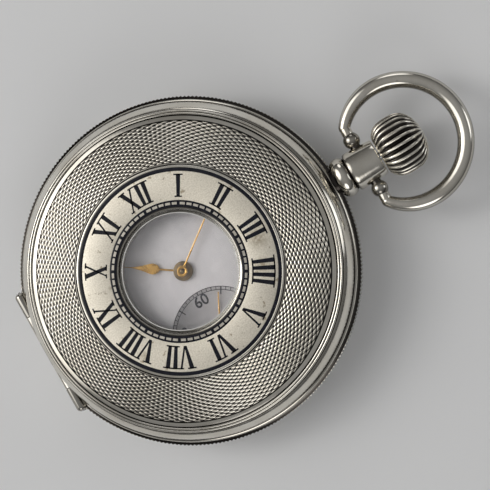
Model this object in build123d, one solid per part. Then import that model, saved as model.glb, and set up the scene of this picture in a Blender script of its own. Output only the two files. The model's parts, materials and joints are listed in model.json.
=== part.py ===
from build123d import *
import os
from math import asin, atan2, cos, degrees, hypot, pi, radians, sin, sqrt

# Half hunter pocket watch, lying on its back: +Z out of the dial, +X to III and the pendant, +Y to XII.
# The origin is the middle of the flat on the back cover that it lies on. Lengths are in millimetres.
# The wheel train, keyless work and motion work are laid out as shares of the main plate's radius.

os.makedirs("parts", exist_ok=True)

# Case band, the middle of the case
case_radius = 25.0  # over the reeds
band_height = 2.5
band_wall = 2.8
reed_count = 272
reed_depth = 0.16
ledge_width = 1.2  # carries the movement
ledge_height = 0.6  # from the ledge to the top of the main plate
catch_wall = 0.7  # thin upstand that a cover closes over
front_catch_height = 1.5
back_catch_height = 1.0
running_gap = 0.05  # radial gap of pivots and pins
seat_gap = 0.15  # gap of fitted pieces that stay still
overrun = 1.0  # how far a cut runs past what it cuts

# Heights of the stack, from the back cover's rest upwards
cover_wall = 0.55
cover_gap = 0.85
cuvette_wall = 0.4
cuvette_gap = 0.3
work_height = 0.9  # ratchet wheel, crown wheel and screws under the three-quarter plate
bridge_thickness = 1.0
train_height = 2.25
plate_thickness = 1.95
dial_thickness = 0.7
hand_room = 1.6
crystal_wall = 0.45
glass_gap = 0.4
glass_thickness = 0.8
glass_sink = 0.25

cuvette_low = cover_wall + cover_gap
cuvette_high = cuvette_low + cuvette_wall
bridge_low = cuvette_high + cuvette_gap + work_height
bridge_high = bridge_low + bridge_thickness
stem_height = bridge_high + train_height  # the main plate's inner face and the stem's axis
plate_high = stem_height + plate_thickness
dial_high = plate_high + dial_thickness
crystal_low = dial_high + hand_room
crystal_high = crystal_low + crystal_wall
glass_low = crystal_high + glass_gap
lid_high = glass_low + glass_thickness + glass_sink
band_low = stem_height - band_height / 2
band_high = stem_height + band_height / 2

# Radii of the case
bore_radius = case_radius - band_wall
ledge_radius = bore_radius - ledge_width
catch_radius = bore_radius + catch_wall
plate_radius = ledge_radius - seat_gap
flange_radius = bore_radius - seat_gap

# Covers
lip_step = 0.55
lip_radius = case_radius - lip_step
opening_radius = 8.65
collar_width = 0.6
glass_ledge = 0.5
glass_bevel = 0.3
glass_radius = opening_radius - running_gap
chapter_edge_share = 0.61  # of the lip's radius, where the flat chapter ring ends
field_edge_share = 0.898
bead_edge_share = 0.926
shoulder_edge_share = 0.99
back_flat_share = 0.3
field_fall_shares = (0.09, 0.298)  # halfway and at the edge, of the cover's depth
bead_fall_shares = (0.27, 0.35)
shoulder_share = 0.967
shoulder_fall_shares = (0.56, 0.93)

# The cuvette is the inner dust cover; its rim closes over the same upstand as the back cover
cuvette_rim = 0.32
cuvette_rim_gap = 0.12
cuvette_edge_gap = 0.3
cuvette_step = 0.5
cuvette_sag_share = 0.12
cuvette_edge_share = 0.882
cuvette_outer = catch_radius + cuvette_rim_gap + cuvette_rim

# Inner bezel and crystal over the dial
bezel_rim = 1.3
bezel_height = 1.05
crystal_seat = 0.4
skirt_depth = 0.4

# Springs that lie against the inside of the band: the lock at the pendant and the lift at the hinge
spring_thickness = 0.45
spring_height = 1.9
spring_sweep = 32.0
nib_half_angle = 1.6
nib_angle = 7.0
nib_reach = 0.45
nib_height = 0.45
spring_radius = bore_radius - 2 * seat_gap
spring_low = band_low + (band_height - spring_height) / 2

# Hinges of the covers
hinge_inset = 1.6
hinge_rise = 0.4
hinge_length = 19.6
knuckle_radius = 0.75
pin_radius = 0.3
knuckle_gap = 0.06
hinge_x = hinge_inset - case_radius
front_axis = band_high + hinge_rise
back_axis = band_low - hinge_rise
front_knuckle_half = 1.96  # half the middle knuckle's length
front_knuckle_split = 5.88  # from the middle to the joint before the last knuckle
back_knuckle_half = 3.53
back_knuckle_split = 6.66
front_splits = (-hinge_length / 2, -front_knuckle_split, -front_knuckle_half, front_knuckle_half,
                front_knuckle_split, hinge_length / 2)
back_splits = (-hinge_length / 2, -back_knuckle_split, -back_knuckle_half, back_knuckle_half,
               back_knuckle_split, hinge_length / 2)

# Pendant, crown and bow, placed by their distance from the case band
pendant_radius = 2.94
pendant_taper = 0.29
pendant_length = 4.6
collar_length = 2.1
collar_bulge = 0.35
sleeve_radius = 1.05
sleeve_bore = 0.72
boss_radius = 1.2
boss_place = 4.5
boss_stand = 1.1
bow_pin_radius = 0.65
crown_radius = 4.3
crown_length = 6.7
crown_gap = 0.25
crown_outline_shares = (  # along the crown, outer radius, depth of the flutes
    (0, 0.64, 0.25), (0.08, 0.78, 0.7), (0.24, 0.93, 1), (0.48, 1, 1), (0.68, 0.93, 1), (0.84, 0.74, 0.9),
    (0.95, 0.45, 0.6), (1, 0.2, 0.2))
flute_count = 26
flute_depth = 0.3
rib_root_share = 0.62
rib_tip_share = 0.3
stem_hold_share = 0.6  # of the crown's length
bow_radius = 8.85
bow_wire = 1.17
bow_end_wire = 0.8
bow_pull = 0.544
bow_bend_share = 0.44

pendant_start = case_radius + collar_length
pendant_end = pendant_start + pendant_length
boss_x = case_radius + boss_place
boss_y = pendant_radius - pendant_taper / 2 + boss_stand
crown_start = pendant_end + crown_gap
bow_end_y = boss_y + boss_radius + bow_end_wire + running_gap
bow_x = boss_x + sqrt((bow_radius - bow_pull)**2 - bow_end_y**2)

# Stem and keyless work
stem_radius = 0.6
square_half = 0.42
stem_inner_share = 0.66
winding_teeth = 16
sliding_length_share = 0.07
winding_length_share = 0.07
clutch_gap = 0.25
winding_tip = 1.85
winding_root = 1.4
sliding_tip = 1.3
sliding_root = 0.95
groove_depth = 0.25
pull_travel = 0.9
crown_mesh = 0.15  # how far the winding pinion's teeth reach into the crown wheel's
groove_width = 0.7
lever_arm = 0.8

# Wheel train: counts of teeth
barrel_teeth = 72
centre_leaves = 9
centre_teeth = 64
third_leaves = 8
third_teeth = 60
fourth_leaves = 8
fourth_teeth = 70
escape_leaves = 7
escape_teeth = 15
cannon_teeth = 12
minute_teeth = 36
minute_leaves = 10
hour_teeth = 40
setting_teeth = 24
ratchet_teeth = 48
crown_teeth = 32

# Tooth shapes, as shares of the pitch and of the module
tooth_tip_share = 0.85
tooth_root_share = 1.15
leaf_tip_share = 0.1
leaf_root_share = 0.6
most_leaves = 16

# Layout of the movement, as shares of the main plate's radius
fourth_share = 0.504
barrel_distance_share = 0.513
barrel_angle = 56.0
centre_third_share = 0.3453
third_fourth_share = 0.2935
fourth_escape_share = 0.277
escape_angle = 190.0
escape_radius_share = 0.11
balance_share = 0.635
balance_angle = 209.0
balance_radius_share = 0.26
crown_wheel_share = 0.595
crown_pitch_share = 0.187
motion_share = 0.184
minute_angle = -35.0
setting_place_share = 0.537

# Thicknesses and small sizes of the movement
wheel_thickness = 0.22
pivot_radius = 0.16
arbor_radius = 0.3
hub_extra = 0.35
centre_arbor = 0.55
cannon_wall = 0.28
hour_pipe_wall = 0.3
jewel_radius = 0.8
jewel_thickness = 0.35
screw_radius = 0.45
screw_head = 0.85
screw_head_height = 0.35
slot_width = 0.22
slot_depth = 0.15
pillar_radius = 1.1
plate_gap = 0.1  # end shake between a wheel and a plate
level_gap = 0.2
barrel_wall = 0.3
motion_depth = 1.0
hairspring_turns = 5
hairspring_strip = 0.09
hairspring_height = 0.16
hairspring_inner = 0.75
hairspring_outer_share = 0.62  # of the balance's radius
mainspring_turns = 7
mainspring_strip = 0.14
hand_thickness = 0.16
spoke_extra = 0.25
balance_room = 0.6
foot_room = 0.4
pallet_clearance = 0.2
fork_clearance = 0.16
impulse_radius = 0.09
roller_reach = 0.66
roller_radius = 0.95
fork_horn = 0.32
balance_staff_radius = 0.3
rim_screws = 12
barrel_arbor_radius = 0.9
barrel_core_share = 0.2  # of the barrel's pitch radius
stud_radius = 1.2
cap_thickness_share = 0.3
click_angle = 172.0
click_width = 0.9
spring_blade = 0.2
dial_foot_radius = 0.45
case_screw_angles = (62, 242)
case_screw_radius = 0.3
case_screw_head = 0.5
case_screw_height = 0.25

# Hands, drawn along +X and turned to a few minutes past ten
hour_turn = 146.0
minute_turn = 36.0
seconds_turn = 63.0
hour_length_share = 0.6
minute_length_share = 0.835
seconds_length_share = 0.3


def tube(outer, inner, low, high):
    """An upright ring about Z, or a disc where inner is zero."""
    face = Circle(outer) - Circle(inner) if inner else Circle(outer)
    return Pos(0, 0, low) * extrude(face, high - low)


def turned(*points):
    """A solid turned about Z from (radius, height) points."""
    return revolve(Plane.XZ * make_face(Polyline(*points, close=True)), axis=Axis.Z)


def rod_x(radius, start, end, y=0, z=0):
    return Pos(start, y, z) * Rot(0, 90, 0) * extrude(Circle(radius), end - start)


def rod_y(radius, x, z, start, end):
    return Pos(x, start, z) * Rot(-90, 0, 0) * extrude(Circle(radius), end - start)


def block(x0, x1, y0, y1, z0, z1):
    corner = (Align.MIN, Align.MIN, Align.MIN)
    return Pos(x0, y0, z0) * Box(x1 - x0, y1 - y0, z1 - z0, align=corner)


def polar(radius, angle):
    return radius * cos(radians(angle)), radius * sin(radians(angle))


def meet(first, first_reach, second, second_reach, side):
    """Where two circles cross, on the given side of the line from the first centre to the second."""
    dx, dy = second[0] - first[0], second[1] - first[1]
    span = hypot(dx, dy)
    along = (first_reach**2 - second_reach**2 + span**2) / (2 * span)
    out = sqrt(max(first_reach**2 - along**2, 0)) * side
    return first[0] + (along * dx - out * dy) / span, first[1] + (along * dy + out * dx) / span


def tooth_outline(count, tip, root, phase=0.0, root_share=leaf_root_share, tip_share=leaf_tip_share):
    """Straight-sided teeth; phase is the first tooth's angle, the shares are widths in pitches."""
    pitch = 2 * pi / count
    corners = [(root, -root_share), (tip, -tip_share), (tip, tip_share), (root, root_share)]
    if tip_share == 0:
        corners = [(root, -1), (tip, 0)]
    points = []
    for i in range(count):
        for radius, share in corners:
            angle = radians(phase) + (i + share / 2) * pitch
            points.append((radius * cos(angle), radius * sin(angle)))
    return make_face(Polyline(*points, close=True))


def gear(count, pitch_radius, low, high, phase=0.0, bore=0.0):
    """A gear about Z: pinions have leaves with flat tips, wheels have pointed teeth."""
    module = 2 * pitch_radius / count
    tip_share = leaf_tip_share if count < most_leaves else 0
    face = tooth_outline(count, pitch_radius + tooth_tip_share * module,
                         pitch_radius - tooth_root_share * module,
                         phase, leaf_root_share, tip_share)
    if bore:
        face -= Circle(bore)
    return Pos(0, 0, low) * extrude(face, high - low)


def crossings(outer, inner, spokes, width, low, high, phase=0.0):
    """What is cut from a wheel to leave its spokes."""
    ring = tube(outer, inner, low - overrun, high + overrun)
    for i in range(spokes):
        arm = block(0, outer + overrun, -width / 2, width / 2, low - overrun, high + overrun)
        ring -= Rot(0, 0, phase + i * 360 / spokes) * arm
    return ring


def mesh_phase(count, phase, other_count, direction):
    """Angle of a tooth of the other gear, so that its gap takes this gear's tooth on the line of centres."""
    fraction = ((direction - phase) / (360 / count)) % 1
    return direction + 180 + (fraction - 0.5) * 360 / other_count


def heading(start, end):
    return degrees(atan2(end[1] - start[1], end[0] - start[0]))


def at(place, piece):
    return Pos(place[0], place[1], 0) * piece


def screw(place, head_low, depth):
    """A slotted screw whose head looks down, to -Z."""
    body = tube(screw_head, 0, head_low, head_low + screw_head_height)
    slot = block(-screw_head - overrun, screw_head + overrun, -slot_width / 2, slot_width / 2,
                 head_low - overrun, head_low + slot_depth)
    body = body - slot + tube(screw_radius, 0, head_low + screw_head_height, head_low + depth)
    return at(place, body)


def screw_seat(place, head_low, depth):
    """What is cut for a screw with its head sunk flush."""
    body = tube(screw_head + running_gap, 0, head_low - overrun, head_low + screw_head_height)
    return at(place, body + tube(screw_radius, 0, head_low, head_low + depth))


def save(piece, name):
    solids = list(piece) if isinstance(piece, list) else [piece]
    export_step(Compound(children=solids), f"parts/{name}.step")


# Case middle: the reeded band with an upstand for each cover, the movement's ledge and the hinge bolster
def case_middle():
    pitch = 2 * pi / reed_count
    reeds = []
    for i in range(reed_count):
        reeds.append(((case_radius - reed_depth) * cos(i * pitch),
                      (case_radius - reed_depth) * sin(i * pitch)))
        middle = (i + 0.5) * pitch
        reeds.append((case_radius * cos(middle), case_radius * sin(middle)))
    band = Pos(0, 0, band_low) * extrude(make_face(Polyline(*reeds, close=True)), band_height)
    body = band + tube(catch_radius, 0, band_low - back_catch_height, band_high + front_catch_height)
    body -= tube(bore_radius, 0, plate_high - ledge_height, band_high + front_catch_height + overrun)
    body -= tube(ledge_radius, 0, band_low - back_catch_height - overrun, plate_high)
    outer_face = hinge_x - knuckle_radius
    body -= block(-case_radius - overrun, outer_face, -case_radius, case_radius,
                  band_low - overrun, band_high + overrun)
    bolster = block(outer_face, hinge_x + knuckle_radius, -hinge_length / 2, hinge_length / 2, band_low,
                    band_high)
    bolster = fillet(bolster.edges().filter_by(Axis.Z).group_by(Axis.X)[0], knuckle_radius * 0.8)
    body += bolster
    for height, splits in ((front_axis, front_splits), (back_axis, back_splits)):
        for i in (0, 2, 4):
            body -= rod_y(knuckle_radius + knuckle_gap, hinge_x, height, splits[i] - knuckle_gap / 2,
                          splits[i + 1] + knuckle_gap / 2)
        for i in (1, 3):
            body += rod_y(knuckle_radius, hinge_x, height, splits[i] + knuckle_gap / 2,
                          splits[i + 1] - knuckle_gap / 2)
        body -= rod_y(pin_radius + running_gap, hinge_x, height, -hinge_length, hinge_length)
    body -= [at(polar((ledge_radius + bore_radius) / 2, angle), tube(case_screw_radius, 0,
                                                                     plate_high - ledge_height -
             2 * case_screw_height, plate_high)) for angle in case_screw_angles]
    body -= rod_x(sleeve_radius, bore_radius, case_radius + overrun, 0, stem_height)
    body -= rod_x(stem_radius + 2 * running_gap, 0, case_radius, 0, stem_height)
    body -= lock_channel(seat_gap)
    body -= fly_channel(seat_gap)
    return body


# Springs that lie against the inside of the band: the lock at the pendant and the lift at the hinge
def arc_strip(inner, outer, low, high, start, end):
    """A stretch of ring between two angles."""
    ring = tube(outer, inner, low, high)
    middle = (start + end) / 2
    half = (end - start) / 2
    far = 2 * outer
    left = polar(far, middle + half)
    right = polar(far, middle - half)
    tip = polar(far * 2, middle)
    sector = make_face(Polyline((0, 0), right, tip, left, close=True))
    return ring & (Pos(0, 0, low - overrun) * extrude(sector, high - low + 2 * overrun))


def room_angle(room):
    """The angle that leaves three times this room at a spring's end."""
    return degrees(3 * room / bore_radius)


def lock_nib(room):
    """The lock's finger: out under the plate's flange, up beside it and out over the band's edge."""
    start = nib_angle - nib_half_angle - room_angle(room)
    end = nib_angle + nib_half_angle + room_angle(room)
    inner = spring_radius - spring_thickness - room
    upright = bore_radius - seat_gap / 3
    foot_high = spring_low + spring_height + room
    top = band_high + seat_gap + nib_height + room
    return arc_strip(inner, upright + spring_thickness + room, spring_low + spring_height / 2, foot_high,
                     start, end) + (
        arc_strip(upright - 2 * room, upright + spring_thickness + room, spring_low + spring_height / 2,
                  top, start,
                  end)) + arc_strip(upright - 2 * room, catch_radius + nib_reach,
                                    band_high + seat_gap - room, top,
                                    start, end)


def lock_channel(room):
    strip = arc_strip(ledge_radius - overrun, bore_radius, spring_low - room,
                      spring_low + spring_height + room,
                      -spring_sweep - room_angle(room), spring_sweep + room_angle(room))
    return strip + lock_nib(room)


def fly_channel(room):
    return arc_strip(ledge_radius - overrun, bore_radius, spring_low - room,
                     spring_low + spring_height + room,
                     180 - spring_sweep - room_angle(room), 180 + spring_sweep + room_angle(room))


def lock_spring():
    strip = arc_strip(spring_radius - spring_thickness, spring_radius, spring_low,
                      spring_low + spring_height,
                      -spring_sweep, spring_sweep)
    return strip + lock_nib(0) - rod_x(stem_radius + 2 * running_gap, 0, case_radius, 0, stem_height)


def fly_spring():
    return arc_strip(spring_radius - spring_thickness, spring_radius, spring_low, spring_low + spring_height,
                     180 - spring_sweep, 180 + spring_sweep)


# Covers: a wall that falls from the flat middle over a bead to the lip. Depths count from the cover's face.
def stepped(start, middle, end, count):
    """A few straight steps along the arc through three points."""
    arc = ThreePointArc(start, middle, end)
    return Polyline(*[arc @ (i / count) for i in range(count + 1)])


def cover_half(face, edge, flat_radius, inner_radius, field_falls, bead_falls, solid=False):
    """Half section of a cover from inner_radius to the lip, drawn with its face at the top."""
    depth = face - edge
    field_edge = field_edge_share * lip_radius
    bead_edge = bead_edge_share * lip_radius
    shoulder_edge = shoulder_edge_share * lip_radius

    def drop(share):
        return face - share * depth

    flat = Line((inner_radius, face), (flat_radius, face))
    field = stepped((flat_radius, face), ((flat_radius + field_edge) / 2, drop(field_falls[0])),
                    (field_edge, drop(field_falls[1])), 4)
    bead = stepped((field_edge, drop(field_falls[1])), ((field_edge + bead_edge) / 2, drop(bead_falls[0])),
                   (bead_edge, drop(bead_falls[1])), 2)
    shoulder = stepped((bead_edge, drop(bead_falls[1])),
                       (shoulder_share * lip_radius, drop(shoulder_fall_shares[0])),
                       (shoulder_edge, drop(shoulder_fall_shares[1])), 6)
    lip = Polyline((shoulder_edge, drop(shoulder_fall_shares[1])), (lip_radius, drop(
        (1 + shoulder_fall_shares[1]) / 2)), (lip_radius, edge), (lip_radius - cover_wall, edge))
    if solid:
        base = Polyline((lip_radius, edge), (inner_radius, edge), (inner_radius, face))
        skirt = Polyline((shoulder_edge, drop(shoulder_fall_shares[1])), (lip_radius, drop(
            (1 + shoulder_fall_shares[1]) / 2)), (lip_radius, edge))
        return make_face([flat, field, bead, shoulder, skirt, base])
    inner_top = drop(shoulder_fall_shares[0]) - cover_wall / 2
    inner_start = (bead_edge - cover_wall, drop(bead_falls[1]) - cover_wall * 0.9)
    inner_middle = (shoulder_share * lip_radius - cover_wall * 0.9, inner_top)
    inner_end = (lip_radius - cover_wall, drop(shoulder_fall_shares[1]))
    wall = Line((lip_radius - cover_wall, edge), inner_end)
    inner_shoulder = stepped(inner_end, inner_middle, inner_start, 4)
    inner_field = stepped(inner_start, ((flat_radius + field_edge) / 2, drop(field_falls[0]) - cover_wall),
                          (flat_radius, face - cover_wall), 3)
    ceiling = Line((flat_radius, face - cover_wall), (inner_radius, face - cover_wall))
    hub = Line((inner_radius, face - cover_wall), (inner_radius, face))
    return make_face([flat, field, bead, shoulder, lip, wall, inner_shoulder, inner_field, ceiling, hub])


def hinged(cover, dome, height, side, splits, chosen, barred, clear):
    """Cuts a cover at the hinge line, closes the cut with bars inside its dome and adds knuckles."""
    inner = -catch_radius - running_gap
    room = tube(clear, 0, -lid_high, 2 * lid_high)
    far_edge = height + side * lid_high
    cover -= block(-2 * case_radius, hinge_x, -case_radius, case_radius, -lid_high, 2 * lid_high)
    for i in barred:
        stretch = block(hinge_x, inner, splits[i], splits[i + 1], *sorted((height, far_edge)))
        cover += (stretch - room) & dome
    cover -= rod_y(knuckle_radius + knuckle_gap, hinge_x, height, -hinge_length / 2 - knuckle_gap,
                   hinge_length / 2 + knuckle_gap)
    for i in chosen:
        start = splits[i] + knuckle_gap / 2
        end = splits[i + 1] - knuckle_gap / 2
        cover += rod_y(knuckle_radius, hinge_x, height, start, end)
        web = block(hinge_x, inner, start, end, *sorted((height, height + side * 1.5 * knuckle_radius)))
        cover += web & dome
    return cover - rod_y(pin_radius + running_gap, hinge_x, height, -hinge_length, hinge_length)


def front_lid():
    flat_radius = chapter_edge_share * lip_radius
    half = cover_half(lid_high, band_high, flat_radius, opening_radius, field_fall_shares, bead_fall_shares)
    lid = revolve(Plane.XZ * half, axis=Axis.Z)
    collar_low = glass_low - seat_gap
    lid += turned((opening_radius, lid_high - cover_wall), (opening_radius + collar_width,
                                                            lid_high - cover_wall),
                  (opening_radius + collar_width, collar_low), (opening_radius - glass_ledge, collar_low),
                  (opening_radius - glass_ledge, glass_low), (opening_radius, glass_low))
    dome = revolve(Plane.XZ * cover_half(lid_high, band_high, flat_radius, 0, field_fall_shares,
                                         bead_fall_shares,
                                         True), axis=Axis.Z)
    return hinged(lid, dome, front_axis, 1, front_splits, (0, 2, 4), (0, 1, 2, 3, 4),
                  catch_radius + running_gap)


def lid_glass():
    top = lid_high - glass_sink
    edge = top - glass_bevel * 0.7
    return turned((0, glass_low), (glass_radius, glass_low), (glass_radius, edge),
                  (glass_radius - glass_bevel, top),
                  (0, top))


def turned_over(face):
    """A cover's half section, drawn face up, revolved and laid face down on the ground."""
    return Rot(180, 0, 0) * Pos(0, 0, -band_low) * revolve(Plane.XZ * face, axis=Axis.Z)


def back_cover():
    flat_radius = back_flat_share * lip_radius
    cover = turned_over(cover_half(band_low, 0, flat_radius, 0, field_fall_shares, bead_fall_shares))
    dome = turned_over(cover_half(band_low, 0, flat_radius, 0, field_fall_shares, bead_fall_shares, True))
    return hinged(cover, dome, back_axis, -1, back_splits, (0, 4), (0, 1, 3, 4), cuvette_outer + running_gap)


def cuvette_half(solid=False):
    """Half section that follows the back cover's inside at a growing distance towards the middle."""
    inner = catch_radius + cuvette_rim_gap
    outer = cuvette_outer
    flat = back_flat_share * lip_radius
    edge = cuvette_edge_share * lip_radius
    edge_low = field_fall_shares[1] * band_low + cover_wall + cuvette_edge_gap
    middle_low = cuvette_low + cuvette_sag_share * (edge_low - cuvette_low)
    shoulder = bead_edge_share * lip_radius
    shoulder_low = edge_low + cuvette_step
    rim_low = shoulder_fall_shares[0] * band_low + cover_wall + cuvette_edge_gap
    rim_high = band_low - seat_gap
    under = [
        Line((0, cuvette_low), (flat, cuvette_low)),
        stepped((flat, cuvette_low), ((flat + edge) / 2, middle_low), (edge, edge_low), 3),
        Polyline((edge, edge_low), (shoulder, shoulder_low), (outer, rim_low), (outer, rim_high)),
    ]
    if solid:
        return make_face(under + [Polyline((outer, rim_high), (0, rim_high), (0, cuvette_low))])
    over = [
        Polyline((outer, rim_high), (inner, rim_high), (inner, rim_low + 0.15 * cuvette_wall),
                 (shoulder - 0.3 * cuvette_wall, shoulder_low + 0.85 * cuvette_wall),
                 (edge, edge_low + cuvette_wall)),
        stepped((edge, edge_low + cuvette_wall), ((flat + edge) / 2, middle_low + cuvette_wall),
                (flat, cuvette_high), 3),
        Polyline((flat, cuvette_high), (0, cuvette_high), (0, cuvette_low)),
    ]
    return make_face(under + over)


def cuvette():
    cover = revolve(Plane.XZ * cuvette_half(), axis=Axis.Z)
    dome = revolve(Plane.XZ * cuvette_half(True), axis=Axis.Z)
    return hinged(cover, dome, back_axis, -1, back_splits, (2,), (2,), catch_radius + running_gap)


def hinge_pin(height):
    return rod_y(pin_radius, hinge_x, height, -hinge_length / 2, hinge_length / 2)


def bezel_base():
    return band_high + front_catch_height


def inner_bezel():
    base = bezel_base()
    outer = catch_radius - running_gap
    inner = bore_radius - bezel_rim
    return turned((inner, base - skirt_depth), (bore_radius - running_gap, base - skirt_depth),
                  (bore_radius - running_gap, base), (outer, base), (outer - bezel_height * 0.35, base +
                  bezel_height * 0.5), (outer - bezel_height * 0.95, base + bezel_height),
                  (inner + crystal_seat,
                  base + bezel_height), (inner + crystal_seat,
                                         base + bezel_height - crystal_wall - seat_gap),
                  (inner, base + bezel_height - crystal_wall - seat_gap))


def shoulder_arc(start_radius, top, end_radius, low):
    """An arc that leaves the level at start_radius smoothly and falls to end_radius."""
    across = end_radius - start_radius
    fall = top - low
    reach = (across**2 + fall**2) / (2 * fall)
    half = asin(across / reach) / 2
    middle = (start_radius + reach * sin(half), top - reach * (1 - cos(half)))
    return stepped((start_radius, top), middle, (end_radius, low), 4)


def crystal():
    edge = bore_radius - bezel_rim + crystal_seat - running_gap
    low = bezel_base() + bezel_height - crystal_wall - seat_gap
    flat = 0.5 * edge
    outside = shoulder_arc(flat, crystal_high, edge, low + crystal_wall)
    inside = shoulder_arc(flat, crystal_low, edge, low)
    section = make_face([Polyline((0, crystal_low), (0, crystal_high), (flat, crystal_high)), outside,
                         Line((edge, low + crystal_wall), (edge, low)), inside,
                         Line((flat, crystal_low), (0, crystal_low))])
    return revolve(Plane.XZ * section, axis=Axis.Z)


# Pendant, bow and crown
def pendant():
    def radius_at(x):
        return pendant_radius - pendant_taper * (x - pendant_start) / pendant_length

    half = make_face(Polyline((0, 0), (pendant_radius, 0), (radius_at(pendant_end), pendant_length),
                              (0, pendant_length), close=True))
    neck = Pos(pendant_start, 0, stem_height) * Rot(0, 90, 0) * revolve(Plane.XZ * half, axis=Axis.Z)
    for side in (-1, 1):
        neck += Pos(boss_x, side * boss_y, stem_height) * Sphere(boss_radius)
        neck += rod_y(boss_radius, boss_x, stem_height, *sorted((0, side * boss_y)))
    neck -= rod_x(sleeve_radius, pendant_start - overrun, pendant_end + overrun, 0, stem_height)
    return neck - rod_y(bow_pin_radius + running_gap, boss_x, stem_height, sleeve_radius + bow_pin_radius,
                        boss_y + boss_radius + overrun) - rod_y(
        bow_pin_radius + running_gap, boss_x, stem_height, -boss_y - boss_radius - overrun,
        -sleeve_radius - bow_pin_radius)


def pendant_collar():
    inner = sleeve_radius
    outer = pendant_radius - collar_bulge
    start = sqrt(case_radius**2 - pendant_radius**2) - reed_depth - seat_gap
    bead = make_face([
        Polyline((inner, pendant_start), (inner, start), (outer, start), (outer, case_radius)),
        stepped((outer, case_radius), (outer + collar_bulge, case_radius + collar_length / 2),
                (outer, pendant_start), 6),
        Line((outer, pendant_start), (inner, pendant_start)),
    ])
    ring = Pos(0, 0, stem_height) * Rot(0, 90, 0) * revolve(Plane.XZ * bead, axis=Axis.Z)
    return ring - tube(case_radius, 0, 0, lid_high)


def pendant_sleeve():
    start = bore_radius + seat_gap
    return rod_x(sleeve_radius - running_gap, start, pendant_end, 0, stem_height) - rod_x(
        sleeve_bore, start - overrun, pendant_end + overrun, 0, stem_height)


def bow():
    """A ring whose radius and wire shrink a little towards its two ends, which turn into the bosses."""
    end_angle = degrees(atan2(bow_end_y, boss_x - bow_x))
    bend_start = end_angle * (1 - bow_bend_share)

    def on_ring(angle):
        pull = max(abs(angle) - bend_start, 0) / (end_angle - bend_start)
        reach = bow_radius - bow_pull * pull**2
        return bow_x + reach * cos(radians(angle)), reach * sin(radians(angle)), pull

    sections = []
    count = 24
    for i in range(count + 1):
        angle = -end_angle + 2 * end_angle * i / count
        x, y, pull = on_ring(angle)
        ahead = on_ring(min(angle + 1, end_angle))
        behind = on_ring(max(angle - 1, -end_angle))
        along = Vector(ahead[0] - behind[0], ahead[1] - behind[1], 0)
        wire = bow_wire + (bow_end_wire - bow_wire) * pull**2
        sections.append(Plane((x, y, stem_height), x_dir=(0, 0, 1), z_dir=along) * Circle(wire))
    ring = loft(sections, ruled=True)
    for side in (-1, 1):
        x, y, _ = on_ring(side * end_angle)
        ring += Pos(x, y, stem_height) * Sphere(bow_end_wire)
        inner_end = side * (sleeve_radius + bow_pin_radius * 1.5)
        ring += rod_y(bow_pin_radius, x, stem_height, *sorted((inner_end, y)))
    return ring


def crown():
    """An onion of fluted outlines: the ribs swell from the neck and draw together at the tip."""
    sections = []
    for along_share, radius_share, depth_share in crown_outline_shares:
        outer = crown_radius * radius_share
        sections.append(Pos(0, 0, crown_length * along_share) * tooth_outline(
            flute_count, outer, outer - flute_depth * depth_share, 0, rib_root_share, rib_tip_share))
    body = loft(sections, ruled=True)
    body -= tube(stem_radius + running_gap, 0, -overrun, stem_hold_share * crown_length + seat_gap)
    return Pos(crown_start, 0, stem_height) * Rot(0, 90, 0) * body


def winding_stem():
    """Round stem with a square inner end for the sliding pinion and a groove for the setting lever."""
    inner = stem_inner_share * plate_radius
    square_end = inner + (sliding_length_share + winding_length_share) * plate_radius
    square = block(inner, square_end, -square_half, square_half, stem_height - square_half,
                   stem_height + square_half)
    rod = rod_x(stem_radius, square_end, crown_start + stem_hold_share * crown_length, 0, stem_height)
    groove = rod_x(stem_radius + overrun, lever_groove_x(), lever_groove_x() + groove_width, 0, stem_height)
    groove -= rod_x(stem_radius - groove_depth, 0, case_radius, 0, stem_height)
    return square + rod - groove


def lever_groove_x():
    return winding_end() + 3 * clutch_gap


def sliding_start():
    return (stem_inner_share + 0.02) * plate_radius


def winding_start():
    return sliding_start() + sliding_length_share * plate_radius + clutch_gap


def winding_end():
    return winding_start() + winding_length_share * plate_radius


# Places of the movement's arbors
centre = (0, 0)
fourth = (0, -fourth_share * plate_radius)
barrel_place = polar(barrel_distance_share * plate_radius, barrel_angle)
third = meet(centre, centre_third_share * plate_radius, fourth, third_fourth_share * plate_radius, 1)
escape = (fourth[0] + polar(fourth_escape_share * plate_radius, escape_angle)[0],
          fourth[1] + polar(fourth_escape_share * plate_radius, escape_angle)[1])
balance = polar(balance_share * plate_radius, balance_angle)
balance_radius = balance_radius_share * plate_radius
crown_place = (crown_wheel_share * plate_radius, 0)
minute_place = polar(motion_share * plate_radius, minute_angle)
setting_one = (setting_place_share * plate_radius, 0)
minute_pitch = motion_share * plate_radius * minute_teeth / (minute_teeth + cannon_teeth)
setting_pitch = minute_pitch * setting_teeth / minute_teeth
setting_two = meet(setting_one, 2 * setting_pitch, minute_place, minute_pitch + setting_pitch, 1)
escape_radius = escape_radius_share * plate_radius
lever_heading = heading(escape, balance)
pallet_reach = 1.155 * escape_radius
pallet = (escape[0] + polar(pallet_reach, lever_heading)[0], escape[1] + polar(pallet_reach,
                                                                               lever_heading)[1])
fork_length = hypot(balance[0] - pallet[0], balance[1] - pallet[1])
foot_place = polar(0.79 * plate_radius, balance_angle - 26)
foot_radius = 0.081 * plate_radius
pillar_places = [polar(0.9 * plate_radius, angle) for angle in (100, 160, 268, 325)]

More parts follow.
